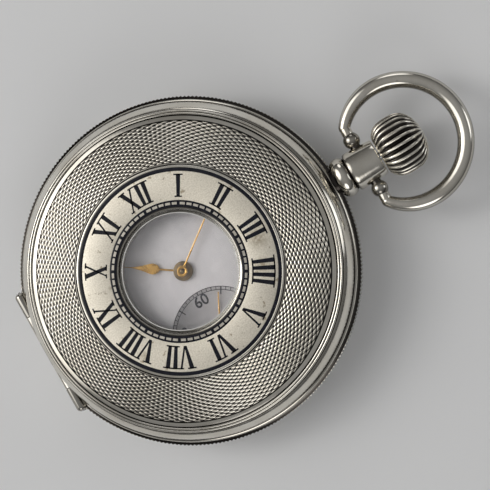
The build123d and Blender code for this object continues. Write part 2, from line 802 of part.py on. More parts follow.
# Pitch radii
barrel_pitch = barrel_distance_share * plate_radius * barrel_teeth / (barrel_teeth + centre_leaves)
centre_pinion_pitch = barrel_pitch * centre_leaves / barrel_teeth
centre_pitch = centre_third_share * plate_radius * centre_teeth / (centre_teeth + third_leaves)
third_pinion_pitch = centre_pitch * third_leaves / centre_teeth
third_pitch = third_fourth_share * plate_radius * third_teeth / (third_teeth + fourth_leaves)
fourth_pinion_pitch = third_pitch * fourth_leaves / third_teeth
fourth_pitch = fourth_escape_share * plate_radius * fourth_teeth / (fourth_teeth + escape_leaves)
escape_pinion_pitch = fourth_pitch * escape_leaves / fourth_teeth
cannon_pitch = minute_pitch * cannon_teeth / minute_teeth
hour_pitch = motion_share * plate_radius * hour_teeth / (hour_teeth + minute_leaves)
minute_pinion_pitch = hour_pitch * minute_leaves / hour_teeth
crown_pitch = crown_pitch_share * plate_radius
ratchet_pitch = hypot(barrel_place[0] - crown_place[0], barrel_place[1] - crown_place[1]) - crown_pitch

# Heights of the train, from the three-quarter plate towards the main plate
centre_low = bridge_high + plate_gap
centre_wheel_high = centre_low + wheel_thickness
barrel_low = centre_wheel_high + level_gap + plate_gap
barrel_high = stem_height - plate_gap
barrel_teeth_low = barrel_high - 0.32 * (barrel_high - barrel_low)
escape_low = centre_wheel_high + 1.6 * level_gap
third_low = escape_low + wheel_thickness + 0.5 * level_gap
fourth_low = stem_height - plate_gap - 2 * wheel_thickness
balance_low = bridge_low + 0.3 * bridge_thickness
balance_high = balance_low + 0.5 * bridge_thickness
hairspring_low = bridge_low + 0.05 * bridge_thickness
cock_high = bridge_low - 0.05 * bridge_thickness
cock_low = cock_high - 0.75 * work_height
ratchet_high = bridge_low - running_gap
ratchet_low = ratchet_high - 0.4 * work_height
crown_teeth_high = stem_height - winding_tip + crown_mesh
motion_floor = plate_high - motion_depth
motion_low = motion_floor + plate_gap
hour_low = motion_low + 0.34 * motion_depth
hour_hand_low = dial_high + 0.25 * hand_room
minute_hand_low = dial_high + 0.53 * hand_room
seconds_hand_low = dial_high + 0.06 * hand_room
jewels_high = stem_height + jewel_thickness


def wheel(count, pitch_radius, low, spokes, hub, bore, phase):
    """A crossed-out train wheel."""
    module = 2 * pitch_radius / count
    high = low + wheel_thickness
    body = gear(count, pitch_radius, low, high, phase, bore)
    rim = pitch_radius - tooth_root_share * module - 0.07 * pitch_radius
    return body - crossings(rim, hub, spokes, 0.09 * pitch_radius + spoke_extra, low, high, phase)


def arbor(low, high, pivot_low, pivot_high):
    """A train arbor with a thinner pivot at each end."""
    return tube(arbor_radius, 0, low, high) + tube(pivot_radius, 0, pivot_low, low) + tube(
        pivot_radius, 0, high, pivot_high)


def main_plate():
    body = tube(plate_radius, 0, stem_height, plate_high)
    body += tube(flange_radius, 0, plate_high - ledge_height, plate_high)
    body -= at(minute_place, tube(minute_pitch * 1.1, 0, motion_floor, plate_high + overrun))
    body -= tube(hour_pitch * 1.1, 0, motion_floor, plate_high + overrun)
    for place in (setting_one, setting_two):
        body -= at(place, tube(setting_pitch * 1.16, 0, motion_floor, plate_high + overrun))
    body -= rod_x(stem_radius + running_gap, setting_one[0], flange_radius + overrun, 0, stem_height)
    chamber_start = sliding_start() - pull_travel - clutch_gap
    body -= block(chamber_start, winding_end() + clutch_gap, -winding_tip - plate_gap,
                  winding_tip + plate_gap,
                  stem_height - overrun, plate_high - 0.5 * plate_gap)
    body -= block(chamber_start, 0.97 * plate_radius, -lever_reach(), lever_reach(), lever_low() - plate_gap,
                  plate_high + overrun)
    pin_start = setting_lever_place()[0] - 1.4 * pivot_radius - running_gap
    body -= block(pin_start, pin_start + pull_travel + 3 * pivot_radius, -2 * pivot_radius, 2 * pivot_radius,
                  stem_height, plate_high)
    body -= lock_nib(seat_gap)
    for place in (fourth, third, escape, pallet, balance):
        body -= at(place, tube(pivot_radius + running_gap, 0, stem_height - overrun, plate_high + overrun))
        body -= at(place, tube(jewel_radius, 0, stem_height - overrun, stem_height + jewel_thickness))
    body -= tube(centre_arbor + running_gap, 0, stem_height - overrun, plate_high)
    body -= at(barrel_place, tube(pivot_radius * 4 + running_gap, 0, stem_height - overrun, jewels_high))
    body -= [at(place, tube(dial_foot_radius + running_gap, 0, motion_low, plate_high + overrun))
             for place in dial_feet_places()]
    body -= [at(polar((ledge_radius + bore_radius) / 2, angle), tube(case_screw_radius, 0, stem_height,
             plate_high + overrun)) for angle in case_screw_angles]
    for place in (minute_place, setting_one, setting_two):
        body += at(place, tube(arbor_radius - running_gap, 0, motion_floor - plate_gap,
                               plate_high - 2 * plate_gap))
    return body


def plate_outline():
    """The three-quarter plate: a disc with room for the balance, its cock's foot and the crown wheel."""
    face = Circle(0.988 * plate_radius)
    room = balance_radius + balance_room
    face -= Pos(*balance) * Circle(room)
    outward = Pos(*polar(plate_radius, balance_angle)) * Rot(0, 0, balance_angle) * Rectangle(
        0.7 * plate_radius, 1.1 * balance_radius)
    face -= outward
    face -= Pos(*foot_place) * Circle(foot_radius + foot_room)
    face -= Pos(*crown_place) * Circle(crown_pitch * 1.1)
    return face


def three_quarter_plate():
    body = Pos(0, 0, bridge_low) * extrude(plate_outline(), bridge_thickness)
    for place in (fourth, third, escape):
        body -= at(place, tube(jewel_radius, 0, bridge_high - jewel_thickness, bridge_high + overrun))
        body -= at(place, tube(pivot_radius * 2, 0, bridge_low - overrun, bridge_high))
    body -= tube(centre_arbor + running_gap, 0, bridge_low - overrun, bridge_high + overrun)
    body -= at(barrel_place, tube(barrel_arbor_radius + running_gap, 0, bridge_low - overrun,
                                  bridge_high + overrun))
    for place in pillar_places + cap_screw_places() + [click_place(), click_spring_foot()]:
        body -= at(place, tube(screw_radius, 0, bridge_low - overrun, bridge_high + overrun))
    return body


def plate_pillars():
    pillars = []
    for place in pillar_places:
        pillar = tube(pillar_radius, 0, bridge_high, stem_height)
        pillars.append(at(place, pillar - tube(screw_radius, 0, bridge_high - overrun, bridge_high + 0.5 *
                                               train_height)))
    return pillars


def plate_screws():
    depth = screw_head_height + bridge_thickness + 0.4 * train_height
    return [screw(place, bridge_low - screw_head_height, depth) for place in pillar_places]


def case_screws():
    screws = []
    for angle in case_screw_angles:
        body = tube(case_screw_head, 0, plate_high, plate_high + case_screw_height)
        body -= block(-case_screw_head, case_screw_head, -slot_width / 3, slot_width / 3,
                      plate_high + case_screw_height / 2, plate_high + case_screw_height + overrun)
        body += tube(case_screw_radius, 0, plate_high - ledge_height - case_screw_height, plate_high)
        screws.append(at(polar((ledge_radius + bore_radius) / 2, angle), body))
    return screws


def jewels():
    """Ring jewels for the arbors, in the main plate and in the three-quarter plate."""
    stones = []
    for place in (fourth, third, escape, pallet, balance):
        stones.append(at(place, tube(jewel_radius, pivot_radius + running_gap / 2, stem_height,
                                     jewels_high)))
    for place in (fourth, third, escape):
        stones.append(at(place, tube(jewel_radius, pivot_radius + running_gap / 2,
                                     bridge_high - jewel_thickness,
                                     bridge_high)))
    return stones


# Barrel with its arbor, spring and cover
def barrel_drum_radius():
    return barrel_pitch * (1 - 3.2 / barrel_teeth)


def barrel():
    phase = mesh_phase(centre_leaves, 0, barrel_teeth, barrel_angle)
    teeth = gear(barrel_teeth, barrel_pitch, barrel_teeth_low, barrel_high, phase)
    body = teeth + tube(barrel_drum_radius(), 0, barrel_low, barrel_high)
    body -= tube(barrel_drum_radius() - barrel_wall, 0, barrel_low - overrun, barrel_high - barrel_wall)
    return at(barrel_place, body - tube(barrel_arbor_radius + running_gap, 0, barrel_low,
                                        barrel_high + overrun))


def barrel_cover():
    cover = tube(barrel_drum_radius() - barrel_wall, barrel_arbor_radius + running_gap, barrel_low,
                 barrel_low + barrel_wall)
    return at(barrel_place, cover)


def barrel_arbor():
    core = barrel_core_share * barrel_pitch
    low = barrel_low + barrel_wall + running_gap
    high = barrel_high - barrel_wall - running_gap
    body = tube(core, 0, low, high) + tube(barrel_arbor_radius, 0, bridge_low - running_gap,
                                           stem_height - running_gap)
    body += tube(pivot_radius * 4, 0, stem_height - 2 * running_gap, jewels_high - running_gap)
    body -= tube(screw_radius, 0, bridge_low - overrun, bridge_high)
    return at(barrel_place, body)


def least_gap(outside, inside, steps=6):
    """The least distance from one turn's outside to the next turn's inside, measured on points."""
    points = [[arc @ (i / steps) for arc in side for i in range(steps)] for side in (outside, inside)]
    turn = 2 * steps
    return min((first - second).length for i, first in enumerate(points[0][:-turn])
               for second in points[1][i + turn - 2:i + turn + 3])


def spiral(inner, outer, turns, strip, low, high):
    """A flat strip wound on half circles, each half a pitch larger than the last."""
    pitch = (outer - inner) / turns
    sides = []
    for start in (inner + strip / 2, inner - strip / 2):
        arcs = []
        for i in range(2 * turns):
            way = 1 if i % 2 == 0 else -1
            near = start + i * pitch / 2
            reach = near + pitch / 4
            arcs.append(ThreePointArc((way * near, 0), (-way * pitch / 4, way * reach),
                                      (-way * (near + pitch / 2), 0)))
        sides.append(arcs)
    first = Line(sides[1][0] @ 0, sides[0][0] @ 0)
    last = Line(sides[1][-1] @ 1, sides[0][-1] @ 1)
    face = make_face(sides[0] + sides[1] + [first, last])
    print(f"wound strip of {turns} turns: least gap {least_gap(*sides):.2f} mm")
    return Pos(0, 0, low) * extrude(face, high - low)


def mainspring():
    low = barrel_low + barrel_wall + 2 * plate_gap
    high = barrel_high - barrel_wall - plate_gap
    outer = barrel_drum_radius() - barrel_wall - mainspring_strip
    core = barrel_core_share * barrel_pitch + mainspring_strip
    return at(barrel_place, spiral(core, outer, mainspring_turns, mainspring_strip, low, high))


def ratchet_phase():
    direction = heading(crown_place, barrel_place)
    return mesh_phase(crown_teeth, 180 / crown_teeth, ratchet_teeth, direction)


def ratchet_wheel():
    body = gear(ratchet_teeth, ratchet_pitch, ratchet_low, ratchet_high, ratchet_phase(), screw_radius)
    return at(barrel_place, body)


def ratchet_screw():
    return screw(barrel_place, ratchet_low - screw_head_height,
                 screw_head_height + bridge_thickness + work_height *
                 0.4)


def crown_wheel():
    """A flat wheel for the ratchet whose teeth rise as a ring to the winding pinion."""
    inner = crown_pitch * 0.84
    body = gear(crown_teeth, crown_pitch, ratchet_low, crown_teeth_high, 180 / crown_teeth,
                stud_radius + running_gap)
    return at(crown_place, body - tube(inner, 0, ratchet_high, crown_teeth_high + overrun))


def cap_screw_places():
    reach = crown_pitch * 1.35
    return [(crown_place[0] + polar(reach, angle)[0], crown_place[1] + polar(reach, angle)[1]) for angle in
            (-62, -170)]


def crown_bridge():
    """Cap over the crown wheel with the stud that it turns on, on two feet."""
    high = ratchet_low - running_gap
    low = high - cap_thickness_share * work_height
    first, second = cap_screw_places()
    middle = ((first[0] + second[0]) / 2, (first[1] + second[1]) / 2)
    length = hypot(first[0] - second[0], first[1] - second[1])
    turn = heading(first, second)
    width = 1.4 * screw_head
    bar = at(middle, Rot(0, 0, turn) * block(-length / 2, length / 2, -width, width, low, high))
    bar += at(crown_place, tube(stud_radius * 1.6, 0, low, high))
    reach = hypot(middle[0] - crown_place[0], middle[1] - crown_place[1])
    arm = Rot(0, 0, heading(crown_place, middle)) * block(0, reach, -width, width, low, high)
    bar += at(crown_place, arm)
    bar += at(crown_place, tube(stud_radius, 0, low, bridge_high - plate_gap))
    for place in (first, second):
        bar += at(place, tube(width, 0, low, bridge_low))
    for place in (first, second):
        bar -= screw_seat(place, low, 2 * work_height)
    return bar


def cap_screws():
    low = ratchet_low - running_gap - cap_thickness_share * work_height
    return [screw(place, low, work_height + 0.5 * bridge_thickness) for place in cap_screw_places()]


def click_place():
    x, y = polar(ratchet_pitch * 1.32, click_angle)
    return barrel_place[0] + x, barrel_place[1] + y


def click():
    """The pawl stands just clear of the ratchet's teeth."""
    tip_reach = ratchet_pitch * (1 + 2.4 / ratchet_teeth)
    tip = (barrel_place[0] + polar(tip_reach, click_angle - 17)[0],
           barrel_place[1] + polar(tip_reach, click_angle - 17)[1])
    place = click_place()
    body = at(place, tube(click_width, screw_radius + running_gap, ratchet_low, ratchet_high))
    length = hypot(tip[0] - place[0], tip[1] - place[1])
    beak = make_face(Polyline((click_width * 0.8, -click_width * 0.5), (length, 0), (click_width * 0.8,
                     click_width * 0.7), close=True))
    beak = Pos(0, 0, ratchet_low) * extrude(beak, ratchet_high - ratchet_low)
    return body + at(place, Rot(0, 0, heading(place, tip)) * beak)


def click_screw():
    return screw(click_place(), ratchet_low - screw_head_height - running_gap,
                 screw_head_height + work_height * 0.5 +
                 0.6 * bridge_thickness)


def click_spring_foot():
    x, y = polar(ratchet_pitch * 1.55, click_angle + 34)
    return barrel_place[0] + x, barrel_place[1] + y


def click_spring():
    """A bent strip from its screwed foot to the back of the click."""
    foot = click_spring_foot()
    end = click_place()
    turn = heading(foot, end)
    length = hypot(end[0] - foot[0], end[1] - foot[1]) - click_width - seat_gap
    strip = block(0, length, -spring_blade / 2, spring_blade / 2, ratchet_low, ratchet_high)
    body = at(foot, tube(screw_head, 0, ratchet_low, bridge_low) + Rot(0, 0, turn) * strip)
    return body - at(foot, tube(screw_radius, 0, ratchet_low - overrun, bridge_low + overrun))


def click_spring_screw():
    return screw(click_spring_foot(), ratchet_low - screw_head_height,
                 screw_head_height + work_height * 0.5 +
                 0.6 * bridge_thickness)


# Going train
def third_phase():
    return mesh_phase(centre_teeth, 0, third_leaves, heading(centre, third))


def centre_wheel():
    return wheel(centre_teeth, centre_pitch, centre_low, 4, centre_arbor * 3, centre_arbor, 0)


def centre_pinion():
    body = tube(centre_arbor, 0, bridge_low + plate_gap, minute_hand_low)
    teeth = gear(centre_leaves, centre_pinion_pitch, barrel_teeth_low - plate_gap,
                 stem_height - plate_gap / 2, 0)
    collar = tube(centre_arbor + hub_extra, 0, centre_wheel_high, barrel_teeth_low - plate_gap)
    return body + teeth + collar


def cannon_pinion():
    pipe = tube(centre_arbor + cannon_wall, centre_arbor, motion_low, minute_hand_low)
    teeth = gear(cannon_teeth, cannon_pitch, motion_low, motion_low + 0.3 * motion_depth, 0, centre_arbor)
    return pipe + teeth


def third_wheel():
    return at(third, wheel(third_teeth, third_pitch, third_low, 4, arbor_radius * 4, arbor_radius, 0))


def third_pinion():
    body = arbor(bridge_high + plate_gap / 2, stem_height - plate_gap, bridge_high - jewel_thickness,
                 stem_height + jewel_thickness)
    teeth = gear(third_leaves, third_pinion_pitch, centre_low, third_low, third_phase())
    return at(third, body + teeth)


def fourth_wheel():
    return at(fourth, wheel(fourth_teeth, fourth_pitch, fourth_low, 4, arbor_radius * 4, arbor_radius, 0))


def fourth_pinion():
    phase = mesh_phase(third_teeth, 0, fourth_leaves, heading(third, fourth))
    body = arbor(bridge_high + plate_gap / 2, stem_height - plate_gap, bridge_high - jewel_thickness,
                 seconds_hand_low + hand_thickness)
    teeth = gear(fourth_leaves, fourth_pinion_pitch, third_low - plate_gap, fourth_low, phase)
    return at(fourth, body + teeth)


def escape_pinion():
    phase = mesh_phase(fourth_teeth, 0, escape_leaves, heading(fourth, escape))
    body = arbor(bridge_high + plate_gap / 2, stem_height - plate_gap, bridge_high - jewel_thickness,
                 stem_height + jewel_thickness)
    teeth = gear(escape_leaves, escape_pinion_pitch, fourth_low - plate_gap, stem_height - plate_gap, phase)
    return at(escape, body + teeth)


def escape_wheel():
    """Fifteen pointed teeth that lean forwards, on a thin crossed-out wheel."""
    points = []
    pitch = 360 / escape_teeth
    for i in range(escape_teeth):
        for reach, share in ((0.76, 0.0), (1.0, 0.42), (0.97, 0.56), (0.78, 0.3)):
            points.append(polar(reach * escape_radius, (i + share) * pitch))
    face = make_face(Polyline(*points, close=True)) - Circle(arbor_radius)
    body = Pos(0, 0, escape_low) * extrude(face, wheel_thickness)
    body -= crossings(0.6 * escape_radius, arbor_radius * 2, 4, 0.14 * escape_radius, escape_low,
                      escape_low + wheel_thickness)
    return at(escape, body)


# Lever escapement and balance. The fork is drawn along +X from its pivot towards the balance.
def pallet_fork():
    low = escape_low
    high = escape_low + wheel_thickness
    thick = 0.11 * escape_radius
    stone = escape_radius + pallet_clearance
    arms = []
    for side in (-1, 1):
        x = stone * cos(radians(30)) - pallet_reach
        y = side * stone * sin(radians(30))
        turn = degrees(atan2(y, x))
        arms.append(Rot(0, 0, turn) * block(0, hypot(x, y), -thick, thick, low, high))
    tip = fork_length - roller_reach - fork_clearance
    lever = block(-thick, tip, -thick * 0.8, thick * 0.8, low, high)
    lever += block(tip - fork_horn, tip + fork_horn, -fork_horn, fork_horn, low, high)
    lever -= block(tip - fork_horn * 0.3, tip + 2 * fork_horn, -impulse_radius * 1.6, impulse_radius * 1.6,
                   low - overrun, high + overrun)
    body = arms[0] + arms[1] + lever + tube(arbor_radius * 1.4, 0, low, high)
    body += arbor(low - level_gap, stem_height - plate_gap, pallet_bridge_high() - running_gap,
                  stem_height + jewel_thickness)
    return at(pallet, Rot(0, 0, lever_heading) * body)


def pallet_bridge_high():
    return escape_low - 1.2 * level_gap


def pallet_bridge():
    """A bar over the fork's pivot on two feet that stand on the main plate."""
    high = pallet_bridge_high()
    low = bridge_high + running_gap
    reach = 1.27 * escape_radius
    foot = 0.28 * escape_radius
    bar = block(-foot, foot, -reach, reach, low, high)
    for side in (-1, 1):
        bar += Pos(0, side * reach, 0) * tube(foot, 0, low, stem_height)
    bar -= tube(pivot_radius + running_gap / 2, 0, low - overrun, high + overrun)
    return at(pallet, Rot(0, 0, lever_heading) * bar)


def balance_wheel():
    """A ring with two arms and screws round its rim."""
    rim = 0.9 * balance_radius
    inner = 0.8 * balance_radius
    body = tube(rim, inner, balance_low, balance_high)
    arm_high = balance_low + 0.5 * (balance_high - balance_low)
    arm = block(-inner - seat_gap, inner + seat_gap, -0.07 * balance_radius, 0.07 * balance_radius,
                balance_low,
                arm_high)
    body += arm + tube(0.17 * balance_radius, 0, balance_low, arm_high)
    middle = (balance_low + balance_high) / 2
    for i in range(rim_screws):
        turn = (i + 0.5) * 360 / rim_screws
        body += Rot(0, 0, turn) * rod_x(0.052 * balance_radius, 0.85 * balance_radius, balance_radius, 0,
                                        middle)
    body -= tube(balance_staff_radius, 0, balance_low - overrun, balance_high + overrun)
    return at(balance, Rot(0, 0, 35) * body)


def balance_staff():
    top = stem_height + jewel_thickness
    body = tube(balance_staff_radius, 0, cock_high, stem_height - plate_gap)
    body += tube(pivot_radius, 0, cock_low + 0.3 * work_height, cock_high) + tube(
        pivot_radius, 0, stem_height - plate_gap, top)
    roller_high = escape_low - 0.3 * level_gap
    body += tube(roller_radius, 0, roller_high - wheel_thickness, roller_high)
    x, y = polar(roller_reach, lever_heading + 180)
    body += Pos(x, y, 0) * tube(impulse_radius, 0, roller_high - running_gap,
                                escape_low + 0.8 * wheel_thickness)
    return at(balance, body)


def hairspring():
    outer = hairspring_outer_share * balance_radius
    return at(balance, spiral(hairspring_inner, outer, hairspring_turns, hairspring_strip, hairspring_low,
                              hairspring_low + hairspring_height))


def balance_cock():
    """An arm over the balance on a foot that stands on the main plate."""
    turn = heading(foot_place, balance)
    length = hypot(foot_place[0] - balance[0], foot_place[1] - balance[1])
    width = foot_radius
    arm = make_face(Polyline((0, -width), (length, -0.62 * width), (length, 0.62 * width), (0, width),
                             close=True))
    face = arm + Circle(foot_radius) + Pos(length, 0) * Circle(0.8 * foot_radius)
    body = Pos(0, 0, cock_low) * extrude(face, cock_high - cock_low)
    body += tube(foot_radius, 0, cock_low, stem_height)
    body -= Pos(length, 0, 0) * tube(pivot_radius + running_gap / 2, 0, cock_low - overrun,
                                     cock_high + overrun)
    body -= screw_seat(centre, cock_low, bridge_high - cock_low)
    return at(foot_place, Rot(0, 0, turn) * body)


def cock_screw():
    return screw(foot_place, cock_low, bridge_high - cock_low - running_gap)


def regulator():
    """The index turns round the balance's pivot on top of the cock."""
    high = cock_low - running_gap
    low = high - 0.2 * work_height
    body = tube(0.55 * foot_radius, 0.3 * foot_radius, low, high)
    body += Rot(0, 0, balance_angle + 100) * block(0.4 * foot_radius, 2.6 * foot_radius, -0.12 * foot_radius,
                                                  0.12 * foot_radius, low, high)
    return at(balance, body)


# Motion work and keyless work on the dial side
def minute_wheel():
    phase = mesh_phase(cannon_teeth, 0, minute_teeth, minute_angle)
    body = gear(minute_teeth, minute_pitch, motion_low, motion_low + wheel_thickness, phase)
    body += gear(minute_leaves, minute_pinion_pitch, motion_low + wheel_thickness, plate_high - plate_gap, 0)
    return at(minute_place, body - tube(arbor_radius, 0, motion_low - overrun, plate_high))


def hour_wheel():
    phase = mesh_phase(minute_leaves, 0, hour_teeth, minute_angle + 180)
    inner = centre_arbor + cannon_wall + running_gap
    body = gear(hour_teeth, hour_pitch, hour_low, hour_low + wheel_thickness, phase, inner)
    return body + tube(inner + hour_pipe_wall, inner, hour_low, hour_hand_low)


def setting_phase_two():
    direction = heading(minute_place, setting_two)
    minute_phase = mesh_phase(cannon_teeth, 0, minute_teeth, minute_angle)
    return mesh_phase(minute_teeth, minute_phase, setting_teeth, direction)


def setting_wheel_inner():
    body = gear(setting_teeth, setting_pitch, motion_low, motion_low + wheel_thickness, setting_phase_two(),
                arbor_radius)
    return at(setting_two, body)


def setting_wheel_outer():
    phase = mesh_phase(setting_teeth, setting_phase_two(), setting_teeth, heading(setting_two, setting_one))
    body = gear(setting_teeth, setting_pitch, motion_low, motion_low + wheel_thickness, phase, arbor_radius)
    return at(setting_one, body)


def winding_pinion():
    face = tooth_outline(winding_teeth, winding_tip, winding_root, 0, 0.5,
                         0.26) - Circle(stem_radius + running_gap)
    body = Rot(0, 90, 0) * extrude(face, winding_end() - winding_start())
    return Pos(winding_start(), 0, stem_height) * body


def sliding_pinion():
    """Slides on the stem's square, with a waist for the yoke."""
    length = sliding_length_share * plate_radius
    body = tube(sliding_root, 0, 0, length)
    face = tooth_outline(winding_teeth, sliding_tip, sliding_root, 0, 0.5, 0.26)
    body += extrude(face, 0.3 * length) + Pos(0, 0, 0.7 * length) * extrude(face, 0.3 * length)
    side = square_half + running_gap
    body -= block(-side, side, -side, side, -overrun, length + overrun)
    return Pos(sliding_start(), 0, stem_height) * Rot(0, 90, 0) * body


def lever_low():
    return plate_high - 2.2 * wheel_thickness


def lever_reach():
    return 0.22 * plate_radius


def setting_lever_place():
    return lever_groove_x() + 0.5 * groove_width, 0.14 * plate_radius


def setting_lever():
    """A flat lever whose pin stands in the stem's groove."""
    x, y = setting_lever_place()
    body = Pos(x, y, 0) * tube(2.6 * arbor_radius, 0, lever_low(), plate_high - plate_gap)
    body += block(x - lever_arm / 2, x + lever_arm / 2, 0, y, lever_low(), plate_high - plate_gap)
    pin_low = stem_height + stem_radius - groove_depth + running_gap
    body += Pos(x, 0, 0) * tube(pivot_radius * 1.4, 0, pin_low, lever_low())
    return body


def yoke_place():
    return sliding_start() + 0.5 * sliding_length_share * plate_radius, -0.16 * plate_radius


def yoke():
    """A flat arm whose finger reaches down into the sliding pinion's waist."""
    x, y = yoke_place()
    body = Pos(x, y, 0) * tube(2.6 * arbor_radius, 0, lever_low(), plate_high - plate_gap)
    body += block(x - lever_arm / 3, x + lever_arm / 3, y, lever_arm / 3, lever_low(),
                  plate_high - plate_gap)
    body += Pos(x, 0, 0) * tube(pivot_radius, 0, stem_height + sliding_root + running_gap, lever_low())
    return body


def dial_feet_places():
    return [polar(0.93 * plate_radius, angle) for angle in (140, 215, 300)]


def dial():
    """Enamel disc with a sunk seconds ring, on three feet."""
    radius = bore_radius - bezel_rim - seat_gap
    body = tube(radius, centre_arbor + cannon_wall + hour_pipe_wall + 4 * running_gap, plate_high, dial_high)
    body -= at(fourth, tube(0.336 * plate_radius, 0, dial_high - 0.25 * dial_thickness, dial_high + overrun))
    body -= at(fourth, tube(pivot_radius + 4 * running_gap, 0, plate_high - overrun, dial_high + overrun))
    for place in dial_feet_places():
        body += at(place, tube(dial_foot_radius, 0, motion_low + seat_gap, plate_high))
    return body


def hand(length, boss, bore, stem, spade_at, spade_half, spade_length, tip_half, low):
    """A thin stem with one spade: two bulging arcs that draw in to a long point."""
    start = spade_at - spade_length * 0.3
    end = spade_at + spade_length * 0.7
    half = make_face([
        Line((start, 0), (start, stem)),
        ThreePointArc((start, stem), (start + spade_length * 0.1, spade_half * 0.8), (spade_at, spade_half)),
        ThreePointArc((spade_at, spade_half), (spade_at + spade_length * 0.26, spade_half * 0.45),
                      (end, tip_half)),
        Polyline((end, tip_half), (end, 0), (start, 0)),
    ])
    face = half + mirror(half, Plane.XZ) + Circle(boss)
    face += Pos(length / 2, 0) * Rectangle(length, 2 * tip_half)
    face += Pos(spade_at / 2, 0) * Rectangle(spade_at, 2 * stem)
    if bore:
        face -= Circle(bore)
    return Pos(0, 0, low) * extrude(face, hand_thickness)


def hour_hand():
    length = hour_length_share * plate_radius
    body = hand(length, 0.075 * plate_radius, centre_arbor + cannon_wall + running_gap, 0.011 * plate_radius,
                0.24 * plate_radius, 0.055 * plate_radius, 0.19 * plate_radius, 0.005 * plate_radius,
                hour_hand_low)
    return Rot(0, 0, hour_turn) * body


def minute_hand():
    length = minute_length_share * plate_radius
    body = hand(length, 0.055 * plate_radius, 0, 0.009 * plate_radius, 0.72 * plate_radius,
                0.03 * plate_radius,
                0.1 * plate_radius, 0.005 * plate_radius, minute_hand_low)
    return Rot(0, 0, minute_turn) * body


def seconds_hand():
    length = seconds_length_share * plate_radius
    face = Circle(0.035 * plate_radius) + Pos(length / 2 - 0.06 * plate_radius, 0) * Rectangle(
        length + 0.12 * plate_radius, 0.012 * plate_radius)
    face -= Circle(pivot_radius)
    body = Pos(0, 0, seconds_hand_low) * extrude(face, hand_thickness * 0.8)
    return at(fourth, Rot(0, 0, seconds_turn) * body)


pieces = {
    "case_middle": case_middle(),
    "pendant": pendant(),
    "pendant_collar": pendant_collar(),
    "pendant_sleeve": pendant_sleeve(),
    "bow": bow(),
    "crown": crown(),
    "winding_stem": winding_stem(),
    "front_lid": front_lid(),
    "lid_glass": lid_glass(),
    "inner_bezel": inner_bezel(),
    "crystal": crystal(),
    "back_cover": back_cover(),
    "cuvette": cuvette(),
    "hinge_pins": [hinge_pin(front_axis), hinge_pin(back_axis)],
    "lock_spring": lock_spring(),
    "fly_spring": fly_spring(),
    "main_plate": main_plate(),
    "three_quarter_plate": three_quarter_plate(),
    "plate_pillars": plate_pillars(),
    "movement_screws": plate_screws() + cap_screws() + [click_spring_screw(), click_screw(), cock_screw()],
    "case_screws": case_screws(),
    "jewels": jewels(),
    "barrel": barrel(),
    "barrel_cover": barrel_cover(),
    "barrel_arbor": barrel_arbor(),
    "mainspring": mainspring(),
    "ratchet_wheel": ratchet_wheel(),
    "ratchet_screw": ratchet_screw(),
    "crown_wheel": crown_wheel(),
    "crown_wheel_bridge": crown_bridge(),
    "click": click(),
    "click_spring": click_spring(),
    "centre_wheel": centre_wheel(),
    "centre_pinion": centre_pinion(),
    "cannon_pinion": cannon_pinion(),
    "third_wheel": third_wheel(),
    "third_pinion": third_pinion(),
    "fourth_wheel": fourth_wheel(),
    "fourth_pinion": fourth_pinion(),
    "escape_wheel": escape_wheel(),
    "escape_pinion": escape_pinion(),
    "pallet_fork": pallet_fork(),
    "pallet_bridge": pallet_bridge(),
    "balance_wheel": balance_wheel(),
    "balance_staff": balance_staff(),
    "hairspring": hairspring(),
    "balance_cock": balance_cock(),
    "regulator": regulator(),
    "minute_wheel": minute_wheel(),
    "hour_wheel": hour_wheel(),
    "setting_wheel_inner": setting_wheel_inner(),
    "setting_wheel_outer": setting_wheel_outer(),
    "winding_pinion": winding_pinion(),
    "sliding_pinion": sliding_pinion(),
    "setting_lever": setting_lever(),
    "yoke": yoke(),
    "dial": dial(),
    "hour_hand": hour_hand(),
    "minute_hand": minute_hand(),
    "seconds_hand": seconds_hand(),
}

for name, piece in pieces.items():
    save(piece, name)
    print(name)
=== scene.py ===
import json
import math

import bmesh
import bpy
import numpy as np
from mathutils import Matrix

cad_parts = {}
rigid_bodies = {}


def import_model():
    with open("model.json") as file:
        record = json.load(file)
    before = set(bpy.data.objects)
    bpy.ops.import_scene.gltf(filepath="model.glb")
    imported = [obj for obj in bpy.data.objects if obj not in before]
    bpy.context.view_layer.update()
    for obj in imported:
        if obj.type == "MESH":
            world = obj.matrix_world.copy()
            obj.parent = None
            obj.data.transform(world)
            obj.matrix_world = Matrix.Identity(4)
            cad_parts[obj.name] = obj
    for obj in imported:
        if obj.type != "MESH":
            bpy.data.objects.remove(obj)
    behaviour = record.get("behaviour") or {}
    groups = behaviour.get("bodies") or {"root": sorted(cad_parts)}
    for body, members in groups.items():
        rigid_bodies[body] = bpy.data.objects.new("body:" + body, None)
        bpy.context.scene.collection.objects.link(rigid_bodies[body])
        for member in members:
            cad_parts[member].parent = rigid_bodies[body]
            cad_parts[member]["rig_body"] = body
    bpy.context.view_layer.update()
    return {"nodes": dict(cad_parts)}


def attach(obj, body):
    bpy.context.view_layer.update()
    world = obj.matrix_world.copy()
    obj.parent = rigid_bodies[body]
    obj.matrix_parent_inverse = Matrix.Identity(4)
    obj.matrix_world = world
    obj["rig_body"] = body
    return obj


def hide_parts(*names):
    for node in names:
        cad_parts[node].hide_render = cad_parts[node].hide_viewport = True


# A half hunter pocket watch lying on its back: +Z out of the dial, +X to III, +Y to XII.
# Lengths in the dictionaries are millimetres and angles degrees; mm turns a length into Blender's metres.
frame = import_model()
mm = 0.001
turn = 2 * np.pi
weldNear, copyNear, sliver = 2e-7, 1e-6, 1e-7  # metres: doubles of new pieces and of CAD copies, and sliver edges
watchScene = bpy.context.scene


